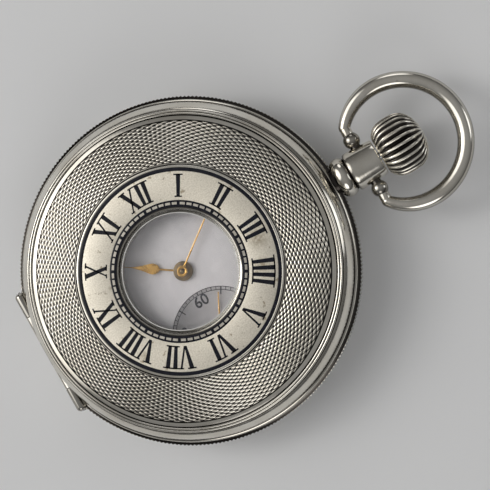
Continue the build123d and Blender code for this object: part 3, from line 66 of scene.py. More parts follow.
# Surfaces worked out with numpy
def gridFaces(rows, columns, loopRows=False, loopColumns=False):
    # quads between neighbouring points of a rows x columns grid; a looped side joins its last line to its first
    i, j = np.meshgrid(np.arange(rows - (not loopRows)), np.arange(columns - (not loopColumns)), indexing="ij")
    nextI, nextJ = (i + 1) % rows, (j + 1) % columns
    return np.stack([i * columns + j, nextI * columns + j, nextI * columns + nextJ, i * columns + nextJ],
                    -1).reshape(-1, 4)


def roundedLine(corners, radii, steps=4, closed=True):
    # each corner P becomes a curve (1-t)^2 A + 2t(1-t) P + t^2 B, with A and B its radius away on both sides
    point = np.asarray(corners, float)
    radius = np.broadcast_to(np.asarray(radii, float), len(point))[:, None]
    before = np.roll(point, 1, 0) - point
    after = np.roll(point, -1, 0) - point
    beforeLength = np.linalg.norm(before, axis=1, keepdims=True)
    afterLength = np.linalg.norm(after, axis=1, keepdims=True)
    start = point + before * np.minimum(radius / beforeLength, 0.48)
    end = point + after * np.minimum(radius / afterLength, 0.48)
    if not closed:
        start[0] = end[0] = point[0]
        start[-1] = end[-1] = point[-1]
    t = np.linspace(0, 1, steps)[None, :, None]
    curve = (1 - t)**2 * start[:, None] + 2 * t * (1 - t) * point[:, None] + t**2 * end[:, None]
    return curve.reshape(-1, 2)


def arcThrough(first, middle, last, count):
    # points of the circle through three points, at even angles from the first to the last
    a, b, c = (complex(*p) for p in (first, middle, last))
    w = (c - a) / (b - a)
    centre = (b - a) * (w - abs(w)**2) / (2j * w.imag) + a
    angles = np.unwrap([np.angle(a - centre), np.angle(b - centre), np.angle(c - centre)])
    angle = np.linspace(angles[0], angles[2], count)
    radius = abs(a - centre)
    return np.stack([centre.real + radius * np.cos(angle), centre.imag + radius * np.sin(angle)], 1)


def turnedPoints(profile, count, centre=(0, 0)):
    # profile points (radius, height) carried round an upright axis: x = cx + r cos a, y = cy + r sin a, z = h
    angle = np.arange(count) * (turn / count)
    radius, height = np.asarray(profile, float).T
    return np.stack([centre[0] + radius[:, None] * np.cos(angle), centre[1] + radius[:, None] * np.sin(angle),
                     np.broadcast_to(height[:, None], (len(radius), count))], -1)


def turnedAlong(profile, count, start, height):
    # points (distance, radius) carried round an axis in +X: x = start + distance, y = r cos a, z = height + r sin a
    angle = np.arange(count) * (turn / count)
    along, radius = np.asarray(profile, float).T
    return np.stack([np.broadcast_to(start + along[:, None], (len(along), count)),
                     radius[:, None] * np.cos(angle), height + radius[:, None] * np.sin(angle)], -1)


def turnedAcross(profile, count, x, height):
    # points (distance, radius) carried round an axis in +Y: x + r cos a, y = distance, z = height + r sin a
    angle = np.arange(count) * (turn / count)
    along, radius = np.asarray(profile, float).T[:, :, None]
    return np.stack([x + radius * np.cos(angle), along + 0 * angle, height + radius * np.sin(angle)], -1)


def holdHollow(mesh, values):
    # how far each point lies in a hollow, 0 to 1, which the finishes darken with painted shade and tarnish
    attribute = mesh.attributes.new("hollow", "FLOAT", "POINT")
    attribute.data.foreach_set("value", np.asarray(values, np.float32).reshape(-1))


def mended(mesh, near, outwards):
    # points less than near metres apart become one, slivers go and, where asked, the faces turn outwards
    shell = bmesh.new()
    shell.from_mesh(mesh)
    if near:
        bmesh.ops.remove_doubles(shell, verts=shell.verts, dist=near)
        bmesh.ops.dissolve_degenerate(shell, edges=shell.edges, dist=sliver)
    if outwards:
        bmesh.ops.recalc_face_normals(shell, faces=shell.faces)
    shell.to_mesh(mesh)
    shell.free()


def dressed(name, mesh, coat, body, sharp):
    # smooth shading that breaks past sharp degrees, one finish as its coat, and a body to ride on
    mesh.polygons.foreach_set("use_smooth", np.ones(len(mesh.polygons), bool))
    mesh.set_sharp_from_angle(angle=math.radians(sharp))
    mesh.materials.clear()
    mesh.materials.append(finish[coat])
    piece = bpy.data.objects.new(name, mesh)
    watchScene.collection.objects.link(piece)
    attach(piece, body)
    return piece


def pieceFrom(name, points, faces, coat, body, slot, sharp=32.0, weld=True, values=None):
    # points in millimetres become a closed mesh at its place
    mesh = bpy.data.meshes.new(name)
    mesh.from_pydata(np.asarray(points, float).reshape(-1, 3) * mm, [], faces)
    if values is not None:
        holdHollow(mesh, values)
    mended(mesh, weldNear if weld else 0, outwards=True)
    return dressed(name, mesh, coat, body, sharp)


def roundPiece(name, points, coat, body, slot, loop=False, values=None, **more):
    # a grid of points whose rows close on themselves, and its columns too where looped
    rows, columns = points.shape[:2]
    if values is not None:
        values = np.broadcast_to(values, (rows, columns))
    faces = gridFaces(rows, columns, loop, True)
    return pieceFrom(name, points, faces, coat, body, slot, values=values, **more)


def turnedPiece(name, profile, count, coat, body, slot, centre=(0, 0), loop=True):
    # a closed profile, or one that starts and ends on the axis, carried round
    return roundPiece(name, turnedPoints(profile, count, centre), coat, body, slot, loop)


def patchPiece(name, patches, low, high, coat, body, slot, centre=(0, 0), fine=5):
    # patches: corners (across, along) from bottom left round by bottom right, then inner, outer and heading;
    # each is filled by blending its four corners on a grid, bent onto its ring and given a thickness:
    # along, 0 to 1, runs outwards, and across, in millimetres, runs clockwise
    corners = np.array([patch[0] for patch in patches], float)
    inner, outer, heading = (np.array([patch[i] for patch in patches], float)[:, None, None] for i in (1, 2, 3))
    s = np.linspace(0, 1, fine)[None, :, None, None]
    t = np.linspace(0, 1, 2)[None, None, :, None]
    bottomLeft, bottomRight, topRight, topLeft = (corners[:, i][:, None, None] for i in range(4))
    flat = (1 - t) * ((1 - s) * bottomLeft + s * bottomRight) + t * ((1 - s) * topLeft + s * topRight)
    radius = inner + flat[..., 1] * (outer - inner)
    angle = np.radians(heading) - flat[..., 0] / ((inner + outer) / 2)
    plan = np.stack([radius * np.cos(angle), radius * np.sin(angle)], -1) + np.asarray(centre)
    count = len(patches)
    # round each patch: left edge up, top along, right edge down, as a strip of four lines
    section = np.stack([plan[:, :, 0], plan[:, :, 1], plan[:, :, 1], plan[:, :, 0]], 2)
    heights = np.broadcast_to(np.array([high, high, low, low])[None, None, :, None], section.shape[:3] + (1,))
    points = np.concatenate([section, heights], -1)
    strip = gridFaces(fine, 4, False, True)
    ends = np.array([[0, 1, 2, 3], [4 * fine - 1, 4 * fine - 2, 4 * fine - 3, 4 * fine - 4]])
    faces = (np.concatenate([strip, ends])[None] + (np.arange(count) * 4 * fine)[:, None, None]).reshape(-1, 4)
    return pieceFrom(name, points, faces, coat, body, slot, weld=False)


# Finishes; the edges are the noise values between which a tone, a roughness or a stain sets in
cloudEdges, roughEdges, stainEdges, glazeEdges, spotEdge = (0.35, 0.68), (0.3, 0.7), (0.35, 0.6), (0.35, 0.65), 0.05
roughCloud, stainGrain, brushTurn = 1.7, 0.35, 0.5  # millimetres, millimetres and radians about Z
glazeRoughCloud = 0.4  # a share of the glaze's own clouds


def newFinish(name):
    # a new material: its node tree, its shader and the piece's own coordinates
    material = bpy.data.materials.new(name)
    material.use_nodes = True
    tree = material.node_tree
    shader = tree.nodes["Principled BSDF"]
    where = tree.nodes.new("ShaderNodeTexCoord").outputs["Object"]
    return material, tree, shader, where


def noiseAt(tree, where, size, detail=2.0, stretch=None):
    # cloudy noise with features about size millimetres across, drawn out along one axis by stretch
    texture = tree.nodes.new("ShaderNodeTexNoise")
    texture.inputs["Scale"].default_value = 1 / (size * mm)
    texture.inputs["Detail"].default_value = detail
    if stretch:
        mapping = tree.nodes.new("ShaderNodeMapping")
        mapping.inputs["Scale"].default_value = stretch
        mapping.inputs["Rotation"].default_value = (0.0, 0.0, brushTurn)
        tree.links.new(where, mapping.inputs["Vector"])
        where = mapping.outputs["Vector"]
    tree.links.new(where, texture.inputs["Vector"])
    return texture.outputs["Fac"]


def remapped(tree, value, fromLow, fromHigh, toLow, toHigh):
    # a value carried evenly from one range to another and held at its ends
    node = tree.nodes.new("ShaderNodeMapRange")
    for socket, number in zip(("From Min", "From Max", "To Min", "To Max"), (fromLow, fromHigh, toLow, toHigh)):
        node.inputs[socket].default_value = number
    tree.links.new(value, node.inputs["Value"])
    return node.outputs["Result"]


def worked(tree, kind, operation, first, second):
    # a math node on two inputs, each another node's output or a plain value
    node = tree.nodes.new(kind)
    node.operation = operation
    for socket, value in zip(node.inputs, (first, second)):
        if isinstance(value, bpy.types.NodeSocket):
            tree.links.new(value, socket)
        else:
            socket.default_value = value
    return node.outputs


def mixedColour(tree, factor, first, second):
    # the first colour where the factor is 0 and the second where it is 1
    node = tree.nodes.new("ShaderNodeMix")
    node.data_type = "RGBA"
    tree.links.new(factor, node.inputs[0])
    for socket, colour in ((node.inputs[6], first), (node.inputs[7], second)):
        if isinstance(colour, tuple):
            socket.default_value = (*colour, 1)
        else:
            tree.links.new(colour, socket)
    return node.outputs[2]


def bumped(tree, shader, height, depth):
    # relief as high as a value times a depth in millimetres
    node = tree.nodes.new("ShaderNodeBump")
    node.inputs["Distance"].default_value = depth * mm
    tree.links.new(height, node.inputs["Height"])
    tree.links.new(node.outputs["Normal"], shader.inputs["Normal"])


def solidFinish(name, look):
    # two tones in clouds, roughness in clouds and a fine grain in relief, with spots, stains, and hollows darkened
    # by painted shade and tarnish where asked; a look with a gloss is enamel or ink, and one without is metal
    material, tree, shader, where = newFinish(name)
    metal = "gloss" not in look
    clouds = noiseAt(tree, where, look["cloud"], 4 if metal else 3)
    clouds = remapped(tree, clouds, *(cloudEdges if metal else glazeEdges), 0, 1)
    colour = mixedColour(tree, clouds, look["light"], look["dark"])
    if "spots" in look:
        noise = noiseAt(tree, where, look["spotSize"], 3)
        spots = remapped(tree, noise, look["spots"], look["spots"] + spotEdge, 0, 1)
        colour = mixedColour(tree, spots, colour, look["spotColour"])
    for x, y, z, inner, outer in look.get("marks", ()):
        # a stain: full within its inner distance, none past its outer one, and broken by noise
        gap = worked(tree, "ShaderNodeVectorMath", "DISTANCE", where, (x * mm, y * mm, z * mm))["Value"]
        share = remapped(tree, gap, inner * mm, outer * mm, 1, 0)
        broken = remapped(tree, noiseAt(tree, where, stainGrain, 3), *stainEdges, 0.2, 1)
        stain = worked(tree, "ShaderNodeMath", "MULTIPLY", share, broken)["Value"]
        colour = mixedColour(tree, stain, colour, look["spotColour"])
    # painted shade and tarnish: the colour goes towards the hollow colour where the hollow attribute is high
    if "hollow" in look:
        hollow = tree.nodes.new("ShaderNodeAttribute")
        hollow.attribute_name = "hollow"
        depth = remapped(tree, hollow.outputs["Fac"], *look["hollow"], 0, 1)
        colour = mixedColour(tree, depth, colour, look["hollowShadeColour"])
    tree.links.new(colour, shader.inputs["Base Color"])
    roughSize = roughCloud if metal else look["cloud"] * glazeRoughCloud
    rough = remapped(tree, noiseAt(tree, where, roughSize, 3), *roughEdges, *look["rough"])
    tree.links.new(rough, shader.inputs["Roughness"])
    if metal:
        shader.inputs["Metallic"].default_value = 1.0
    else:
        shader.inputs["Specular IOR Level"].default_value = look["gloss"]
    grain, depth = look["grain"]
    bumped(tree, shader, noiseAt(tree, where, grain, 2, look.get("stretch")), depth)
    return material


def glassFinish(name, look):
    # clear glass with faint wipe marks; lamps shine through it onto what it covers
    material, tree, shader, where = newFinish(name)
    shader.inputs["Transmission Weight"].default_value = 1.0
    shader.inputs["IOR"].default_value = look["ior"]
    marks = noiseAt(tree, where, look["markSize"], 4, (1.0, 0.12, 1.0))
    tree.links.new(remapped(tree, marks, 0.55, 0.8, *look["rough"]), shader.inputs["Roughness"])
    tint = remapped(tree, marks, 0.4, 0.8, 0, 1)
    tree.links.new(mixedColour(tree, tint, look["light"], look["dark"]), shader.inputs["Base Color"])
    path = tree.nodes.new("ShaderNodeLightPath")
    through = tree.nodes.new("ShaderNodeBsdfTransparent")
    mixed = tree.nodes.new("ShaderNodeMixShader")
    tree.links.new(path.outputs["Is Shadow Ray"], mixed.inputs[0])
    tree.links.new(shader.outputs["BSDF"], mixed.inputs[1])
    tree.links.new(through.outputs["BSDF"], mixed.inputs[2])
    tree.links.new(mixed.outputs["Shader"], tree.nodes["Material Output"].inputs["Surface"])
    return material


# Clouds, spots and grain are millimetres across, and a grain's second value is its depth; marks are stains as
# x, y, z, inner and outer distance
# tarnish and painted shade: the colour that hollows, grooves, sides and joins of the silver are darkened towards
tarnishAndShade = (0.045, 0.04, 0.036)
finishLooks = {
    "polishedSilver": dict(
        light=(0.80, 0.77, 0.70), dark=(0.66, 0.62, 0.54), cloud=6.0, rough=(0.07, 0.17), grain=(0.5, 0.004),
        stretch=(1.0, 0.1, 1.0), spots=0.74, spotSize=0.9, spotColour=(0.42, 0.38, 0.33), hollow=(0.1, 0.9),
        hollowShadeColour=tarnishAndShade),
    "ringSilver": dict(
        light=(0.84, 0.79, 0.69), dark=(0.66, 0.61, 0.51), cloud=0.2, rough=(0.40, 0.52), grain=(0.12, 0.012),
        spots=0.64, spotSize=1.1, spotColour=(0.42, 0.36, 0.27),
        marks=[(11.9, -1.6, 12.392, 0.3, 1.9), (-9.7, 2.9, 12.392, 0.05, 0.4), (10.6, -5.2, 12.392, 0.2, 1.4),
               (-10.4, -7.6, 12.392, 0.1, 0.9)]),
    "blockSilver": dict(
        light=(0.60, 0.57, 0.51), dark=(0.50, 0.46, 0.40), cloud=0.4, rough=(0.3, 0.42), grain=(0.2, 0.005)),
    "engravedSilver": dict(
        light=(0.90, 0.86, 0.77), dark=(0.80, 0.75, 0.65), cloud=7.0, rough=(0.14, 0.26), grain=(0.6, 0.003),
        hollow=(0.30, 0.78), hollowShadeColour=tarnishAndShade),
    "innerSilver": dict(
        light=(0.82, 0.80, 0.76), dark=(0.7, 0.67, 0.62), cloud=9.0, rough=(0.2, 0.35), grain=(0.8, 0.004),
        stretch=(1.0, 0.06, 1.0)),
    "polishedSteel": dict(
        light=(0.66, 0.67, 0.68), dark=(0.52, 0.53, 0.55), cloud=1.6, rough=(0.12, 0.26), grain=(0.3, 0.002),
        stretch=(1.0, 0.08, 1.0)),
    "blueSteel": dict(
        light=(0.08, 0.13, 0.42), dark=(0.05, 0.06, 0.22), cloud=1.2, rough=(0.14, 0.24), grain=(0.3, 0.002)),
    "frostedGilt": dict(
        light=(0.86, 0.66, 0.34), dark=(0.76, 0.54, 0.25), cloud=5.0, rough=(0.36, 0.48), grain=(0.11, 0.010),
        spots=0.76, spotSize=0.7, spotColour=(0.5, 0.36, 0.2)),
    "wheelBrass": dict(
        light=(0.88, 0.70, 0.38), dark=(0.78, 0.58, 0.28), cloud=1.5, rough=(0.2, 0.32), grain=(0.2, 0.003),
        stretch=(1.0, 0.1, 1.0)),
    "handGold": dict(
        light=(0.74, 0.44, 0.13), dark=(0.54, 0.31, 0.09), cloud=1.4, rough=(0.22, 0.34), grain=(0.3, 0.002)),
    # dark brass: on the hour hub, which lies under the minute hub, it is painted shade; the pin is also dark
    "shadedDarkBrass": dict(
        light=(0.26, 0.19, 0.11), dark=(0.15, 0.11, 0.07), cloud=0.8, rough=(0.25, 0.4), grain=(0.2, 0.003)),
    "numeralEnamel": dict(
        light=(0.004, 0.005, 0.010), dark=(0.009, 0.010, 0.017), cloud=1.0, rough=(0.14, 0.26), grain=(0.4, 0.004),
        gloss=0.3),
    "dialEnamel": dict(
        light=(0.77, 0.74, 0.755), dark=(0.70, 0.67, 0.69), cloud=5.0, rough=(0.22, 0.3), grain=(1.2, 0.003),
        gloss=0.4),
    # painted highlight: a pale gloss standing for the glass bevel's reflection
    "paintedBevelGlint": dict(
        light=(0.72, 0.71, 0.69), dark=(0.60, 0.59, 0.57), cloud=1.2, rough=(0.2, 0.35), grain=(0.3, 0.003),
        gloss=0.6),
    "printInk": dict(
        light=(0.012, 0.012, 0.018), dark=(0.03, 0.03, 0.04), cloud=0.6, rough=(0.3, 0.45), grain=(0.3, 0.002),
        gloss=0.3),
}
finish = {name: solidFinish(name, look) for name, look in finishLooks.items()}
glassLooks = {
    "windowGlass": dict(light=(1.0, 1.0, 1.0), dark=(0.96, 0.97, 0.97), ior=1.45, markSize=1.5, rough=(0.0, 0.03)),
    "ruby": dict(light=(0.75, 0.04, 0.16), dark=(0.55, 0.02, 0.1), ior=1.7, markSize=0.5, rough=(0.0, 0.05)),
}
finish.update({name: glassFinish(name, look) for name, look in glassLooks.items()})
print("finishes made:", len(finish))

# Covers: radius and fall below the face, outside then inside; lines are painted shade in grooves and gaps and on
# the window's wall: from, to, how wide their edges fade and, where it isn't full, their share of the
# tarnish-and-shade colour
coverLook = dict(
    rim=21.96, rimFall=1.46, slope=0.205, hinge=-23.4, inner=-22.95, groove=0.07, sink=0.12, skin=0.56, count=720,
    innerFlatTo=14.9,
    lines=[(8.0, 8.72, 0.03, 0.6), (8.92, 9.0, 0.03), (14.83, 14.95, 0.03), (21.12, 21.22, 0.04),
           (21.82, 21.95, 0.04), (22.29, 22.33, 0.03), (22.68, 22.75, 0.03), (24.0, 24.15, 0.03)])
lidLook = dict(
    top=12.4, side=1, stretch=1.0, body="front_lid", flatTo=14.9, engraved=(15.1, 21.12), rows=121, columns=720,
    field=(15.3, 20.9, 24),
    edge=[(8.66, 0.62), (8.66, 0.2), (8.74, 0.06), (8.98, 0.0), (9.01, 0.06), (14.46, 0.06), (14.49, 0.01),
          (14.53, 0.0), (14.74, 0.0), (14.79, 0.02), (14.83, 0.075), (14.95, 0.075), (14.99, 0.02), (15.05, 0.02),
          (15.08, 0.12)],
    seatFrom=9.4,
    seat=[(9.35, 0.57), (9.24, 0.62), (9.24, 1.2), (8.15, 1.2), (8.15, 1.05), (8.66, 1.05)])
backLook = dict(
    top=0.0, side=-1, stretch=5.0 / 4.9, body="back_cover", flatTo=7.3, engraved=(6.8, 21.12), rows=170,
    columns=540, field=(7.3, 20.9, 32), seatFrom=4.0, seat=[(0.0, 0.56)],
    edge=[(0.0, 0.0), (3.0, 0.0), (6.2, 0.0), (6.3, 0.01), (6.36, 0.06), (6.42, 0.06), (6.48, 0.0), (6.72, 0.0),
          (6.76, 0.12)])
engravingLook = dict(grains=90, perMm=1.9, wide=0.64, long=0.95, relief=0.085, fade=0.12, depth=0.1, underside=0.16)


def fieldFall(radius, flatTo):
    # the engine-turned field falls from where it is flat to the rim: rimFall (slope s + (1 - slope) s^2)
    share = (np.asarray(radius, float) - flatTo) / (coverLook["rim"] - flatTo)
    return coverLook["rimFall"] * (coverLook["slope"] * share + (1 - coverLook["slope"]) * share**2)


def coverOutside(look):
    # the middle's edge, the sunk field, the plain ring, two beads, the polished border and the lip
    groove, sink = coverLook["groove"], coverLook["sink"]
    field = np.linspace(*look["field"])
    field = np.stack([field, fieldFall(field, look["flatTo"]) + sink], 1)
    ring = np.array([(21.10, sink), (21.16, 0.02), (21.22, 0.0), (21.28, -0.01), (21.77, -0.01), (21.82, groove),
                     (21.94, groove)])
    ring[:, 1] += fieldFall(ring[:, 0], look["flatTo"])
    beads = np.concatenate([
        arcThrough((21.97, 1.47), (22.13, 1.385), (22.27, 1.47), 7), [(22.31, 1.53)],
        arcThrough((22.34, 1.5), (22.5, 1.42), (22.66, 1.62), 9), [(22.68, 1.78), (22.74, 1.82)]])
    border = arcThrough((22.8, 1.80), (23.62, 2.72), (24.02, 3.93), 26)
    lip = np.concatenate([[(24.02, 4.02), (24.0, 4.08), (24.06, 4.14), (24.16, 4.16)],
                          arcThrough((24.2, 4.18), (24.38, 4.32), (24.45, 4.55), 7), [(24.45, 4.84), (24.41, 4.9)]])
    return np.concatenate([look["edge"], field, ring, beads, border, lip])


def coverInside(look):
    # the inner face back to the middle, a skin below the outer one, and what the middle ends in
    inner = arcThrough((23.9, 4.56), (23.15, 3.02), (22.09, 2.21), 12)
    field = np.linspace(20.6, look["seatFrom"], 10)
    flatTo = coverLook["innerFlatTo"]
    field = np.stack([field, fieldFall(field, flatTo) * (field > flatTo) + coverLook["skin"]], 1)
    return np.concatenate([[(23.93, 4.9), (23.9, 4.86)], inner, field, look["seat"]])


def darkLines(radius):
    # how much painted shade a cover holds at a radius: full within a line, fading over its edge on both sides
    value = np.zeros(len(radius))
    for low, high, edge, *share in coverLook["lines"]:
        line = np.clip(1 - np.maximum(low - radius, radius - high) / edge, 0, 1)
        value = np.maximum(value, line * (share[0] if share else 1))
    return value


def coverPiece(name, look, loop):
    # the profile carried round the axis; what would pass the hinge line is held at it
    outside = coverOutside(look)
    profile = np.concatenate([outside, coverInside(look)])
    heights = look["top"] - look["side"] * profile[:, 1] * look["stretch"]
    points = turnedPoints(np.stack([profile[:, 0], heights], 1), coverLook["count"])
    limit = np.where(np.arange(len(profile)) < len(outside), coverLook["hinge"], coverLook["inner"])[:, None]
    points[..., 0] = np.maximum(points[..., 0], limit)
    # painted shade along the grooves and gaps, given by radius
    piece = roundPiece(name, points, "polishedSilver", look["body"], "silver", loop,
                       darkLines(profile[:, 0])[:, None], sharp=35.0)
    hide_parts(look["body"])


def barleyGrain(angle, radius):
    # two families of spiral grooves cross; in each cell a grain rises as a lens, 1 - (v / wide)^2 - (u / long)^2,
    # with v across the ring and u along it
    look = engravingLook
    first = (look["grains"] * angle / turn + look["perMm"] * radius) % 1 - 0.5
    second = (look["grains"] * angle / turn - look["perMm"] * radius) % 1 - 0.5
    return np.clip(1 - ((first - second) / look["wide"])**2 - ((first + second) / look["long"])**2, 0, 1)


def engineTurned(name, look):
    # a thin ring whose upper face carries the grains and whose lower face is plain
    low, high = look["engraved"]
    rows, count = look["rows"], look["columns"]
    radius = np.linspace(low, high, rows)
    angle = np.arange(count) * (turn / count)
    fade = np.clip(np.minimum(radius - low, high - radius) / engravingLook["fade"], 0, 1)[:, None]
    grain = barleyGrain(angle[None, :], radius[:, None]) * fade
    fall = (fieldFall(radius, look["flatTo"]) * (radius > look["flatTo"]))[:, None]
    scale = look["side"] * look["stretch"]
    heights = look["top"] - scale * (fall + engravingLook["depth"] - engravingLook["relief"] * grain)
    upper = np.stack([radius[:, None] * np.cos(angle), radius[:, None] * np.sin(angle), heights], -1)
    chosen = [rows - 1, rows - 1 - rows // 2, 0]
    under = upper[chosen].copy()
    under[..., 2] = look["top"] - scale * (fall[chosen] + engravingLook["underside"])
    points = np.concatenate([upper, under])
    # painted shade between the grains, full on the underside
    hollow = np.concatenate([1 - grain, np.ones((len(chosen), count))])
    roundPiece(name, points, "engravedSilver", look["body"], "engraved_silver", True, hollow, sharp=60.0,
               weld=False)


# the back has a solid middle, so its profile starts and ends on the axis
coverPiece("lidShell", lidLook, loop=True)
engineTurned("lidEngraving", lidLook)
coverPiece("backShell", backLook, loop=False)
engineTurned("backEngraving", backLook)
print("covers made")

# Inlays of the lid: the chapter ring with its enamelled numerals and the minute ring round the window
# bands: name, inner, outer, how far below the lid's top, rounding of the edges, finish and slot
ringLook = dict(
    top=12.4, sink=0.06, numeralIn=10.35, numeralOut=13.6, heavy=0.56, thin=0.26, serif=0.062,
    advance={"I": 0.95, "V": 2.05, "X": 2.2},
    bands=[("minuteRingEnamel", 9.02, 9.93, 0.012, 0.02, "numeralEnamel", "enamel"),
           ("chapterRing", 9.94, 13.96, 0.008, 0.03, "ringSilver", "engraved_silver"),
           ("borderEnamel", 13.98, 14.46, 0.014, 0.02, "numeralEnamel", "enamel")],
    columns=240, underEdge=0.001, inlayDepth=0.03, numeralBelow=0.003, blockBelow=0.004, blockIn=9.33,
    blockOut=9.67, blockHalf=2.14, blockGap=1.5, blockStart=1.3, blockRadius=9.49)


def flatRing(name, inner, outer, low, high, coat, body, slot, edge, centre=(0, 0)):
    # a washer with softly rounded edges
    under = ringLook["underEdge"]
    profile = roundedLine([(inner, low), (outer, low), (outer, high), (inner, high)], [under, under, edge, edge])
    turnedPiece(name, profile, ringLook["columns"], coat, body, slot, centre)


def straightMark(half, inner, outer, heading):
    # a patch as wide as half on both sides of its heading
    return [(-half, 0), (half, 0), (half, 1), (-half, 1)], inner, outer, heading


def letterPatches(letter, place):
    # strokes of a Roman letter round its place, each four corners as (across, along)
    heavy, thin, serif = ringLook["heavy"] / 2, ringLook["thin"] / 2, ringLook["serif"]

    def stroke(low, high, lowHalf, highHalf):
        return [(place + low - lowHalf, 0), (place + low + lowHalf, 0), (place + high + highHalf, 1),
                (place + high - highHalf, 1)]

    def bar(left, right, top):
        base = 1 - serif if top else 0
        return [(place + left, base), (place + right, base), (place + right, base + serif),
                (place + left, base + serif)]

    if letter == "I":
        return [stroke(0, 0, heavy, heavy), bar(-0.6, 0.6, False), bar(-0.6, 0.6, True)]
    if letter == "V":
        return [stroke(-0.02, -0.66, 0.2, heavy * 1.05), stroke(0.1, 0.72, thin * 1.1, thin),
                bar(-1.2, -0.1, True), bar(0.4, 1.06, True)]
    return [stroke(0.66, -0.66, heavy * 1.05, heavy * 1.05), stroke(-0.72, 0.72, thin, thin),
            bar(-1.12, -0.14, True), bar(0.4, 1.08, True), bar(-1.06, -0.4, False), bar(0.16, 1.14, False)]


romans = ("XII", "I", "II", "III", "IIII", "V", "VI", "VII", "VIII", "IX", "X", "XI")


def clockHeading(hour):
    # degrees from +X, with XII at 90 and each hour 30 further clockwise
    return 90 - 30 * hour


def romanPatches(hours, inner, outer, scale=1.0):
    # each hour's letters side by side, centred on its heading
    patches = []
    for hour in hours:
        widths = [ringLook["advance"][letter] for letter in romans[hour]]
        starts = np.cumsum([0] + widths[:-1]) + np.array(widths) / 2 - sum(widths) / 2
        for letter, start in zip(romans[hour], starts):
            for corners in letterPatches(letter, start):
                scaled = [(across * scale, along) for across, along in corners]
                patches.append((scaled, inner, outer, clockHeading(hour)))
    return patches


def inlaidPatches(name, patches, below, coat, slot):
    # patches let into the lid, their faces a little below its top
    top = ringLook["top"]
    patchPiece(name, patches, top - ringLook["inlayDepth"], top - below, coat, "front_lid", slot)


for name, inner, outer, below, edge, coat, slot in ringLook["bands"]:
    low, high = ringLook["top"] - ringLook["sink"], ringLook["top"] - below
    flatRing(name, inner, outer, low, high, coat, "front_lid", slot, edge)
inlaidPatches("lidNumerals", romanPatches(range(12), ringLook["numeralIn"], ringLook["numeralOut"]),
              ringLook["numeralBelow"], "numeralEnamel", "enamel")
# five minute blocks to the hour, each as wide in degrees as blockHalf says on both sides
blockSteps = ringLook["blockStart"] + ringLook["blockHalf"] + (
    2 * ringLook["blockHalf"] + ringLook["blockGap"]) * np.arange(5)
blockHeadings = np.concatenate([clockHeading(hour) - blockSteps for hour in range(12)])
blockWide = np.radians(ringLook["blockHalf"]) * ringLook["blockRadius"]
inlaidPatches("lidMinuteBlocks", [straightMark(blockWide, ringLook["blockIn"], ringLook["blockOut"], heading)
                                  for heading in blockHeadings], ringLook["blockBelow"], "blockSilver",
              "engraved_silver")
print("lid inlays made")

# Window glass with its bevelled edge, and the crystal over the dial
windowLook = dict(
    low=11.38, top=12.15, face=[(8.1, 0.0), (8.3, 0.01), (8.6, 0.2)], edgeRound=[0.05, 0.05, 0.05, 0.02],
    flatTo=4, bead=[(8.14, 12.1), (8.27, 12.1), (8.27, 12.158), (8.14, 12.158)], beadRound=0.025)
crystalLook = dict(
    curve=[(10.6, 10.93), (17.0, 10.7), (21.22, 9.65)], foot=(21.22, 9.2), thick=0.45,
    crown=[(0, 10.95), (5, 10.948)], under=[(5, 10.498), (0, 10.5)])
glassColumns = 180


def glassPiece(name, profile, body, replaced):
    # a profile from the axis and back to it, carried round
    piece = turnedPiece(name, np.concatenate(profile), glassColumns, "windowGlass", body, "glass", loop=False)
    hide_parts(replaced)


low, top, flatTo = windowLook["low"], windowLook["top"], windowLook["flatTo"]
windowEdge = [(radius, top - drop) for radius, drop in windowLook["face"]] + [(windowLook["face"][-1][0], low)]
windowEdge = roundedLine(windowEdge, windowLook["edgeRound"], 4, False)
glassPiece("windowGlass", [[(0, top), (flatTo, top)], windowEdge, [(flatTo, low), (0, low)]], "front_lid",
           "lid_glass")
# a fine pale bead painted as the highlight of the bevel's reflection
turnedPiece("windowBevelGlint", roundedLine(windowLook["bead"], windowLook["beadRound"], 4), ringLook["columns"],
            "paintedBevelGlint", "front_lid", "glass")
crystalOut = arcThrough(*crystalLook["curve"], 16)
crystalIn = (crystalOut - (0, crystalLook["thick"]))[::-1]
glassPiece("crystalGlass", [crystalLook["crown"], crystalOut, [crystalLook["foot"]], crystalIn,
                            crystalLook["under"]], "case", "crystal")

# Crown: an onion of round ribs with painted shade in the hollows; outline: shares of its length, of its radius and
# of a rib's depth
crownLook = dict(
    start=31.95, length=6.7, radius=4.3, height=6.25, ribs=26, ribDepth=0.42, ribPower=1.7, tarnishAndShade=1.9,
    pointsARib=14, least=0.25, sideTo=0.9, capFrom=0.91, sideRows=46, capRows=16, smooth=7,
    outline=[(0, 0.66, 0.25), (0.03, 0.72, 0.4), (0.08, 0.84, 0.7), (0.2, 0.96, 1), (0.35, 1, 1), (0.55, 1, 1),
             (0.7, 0.96, 1), (0.84, 0.81, 0.9), (0.94, 0.54, 0.6), (0.99, 0.28, 0.2), (1, 0.12, 0.0)])


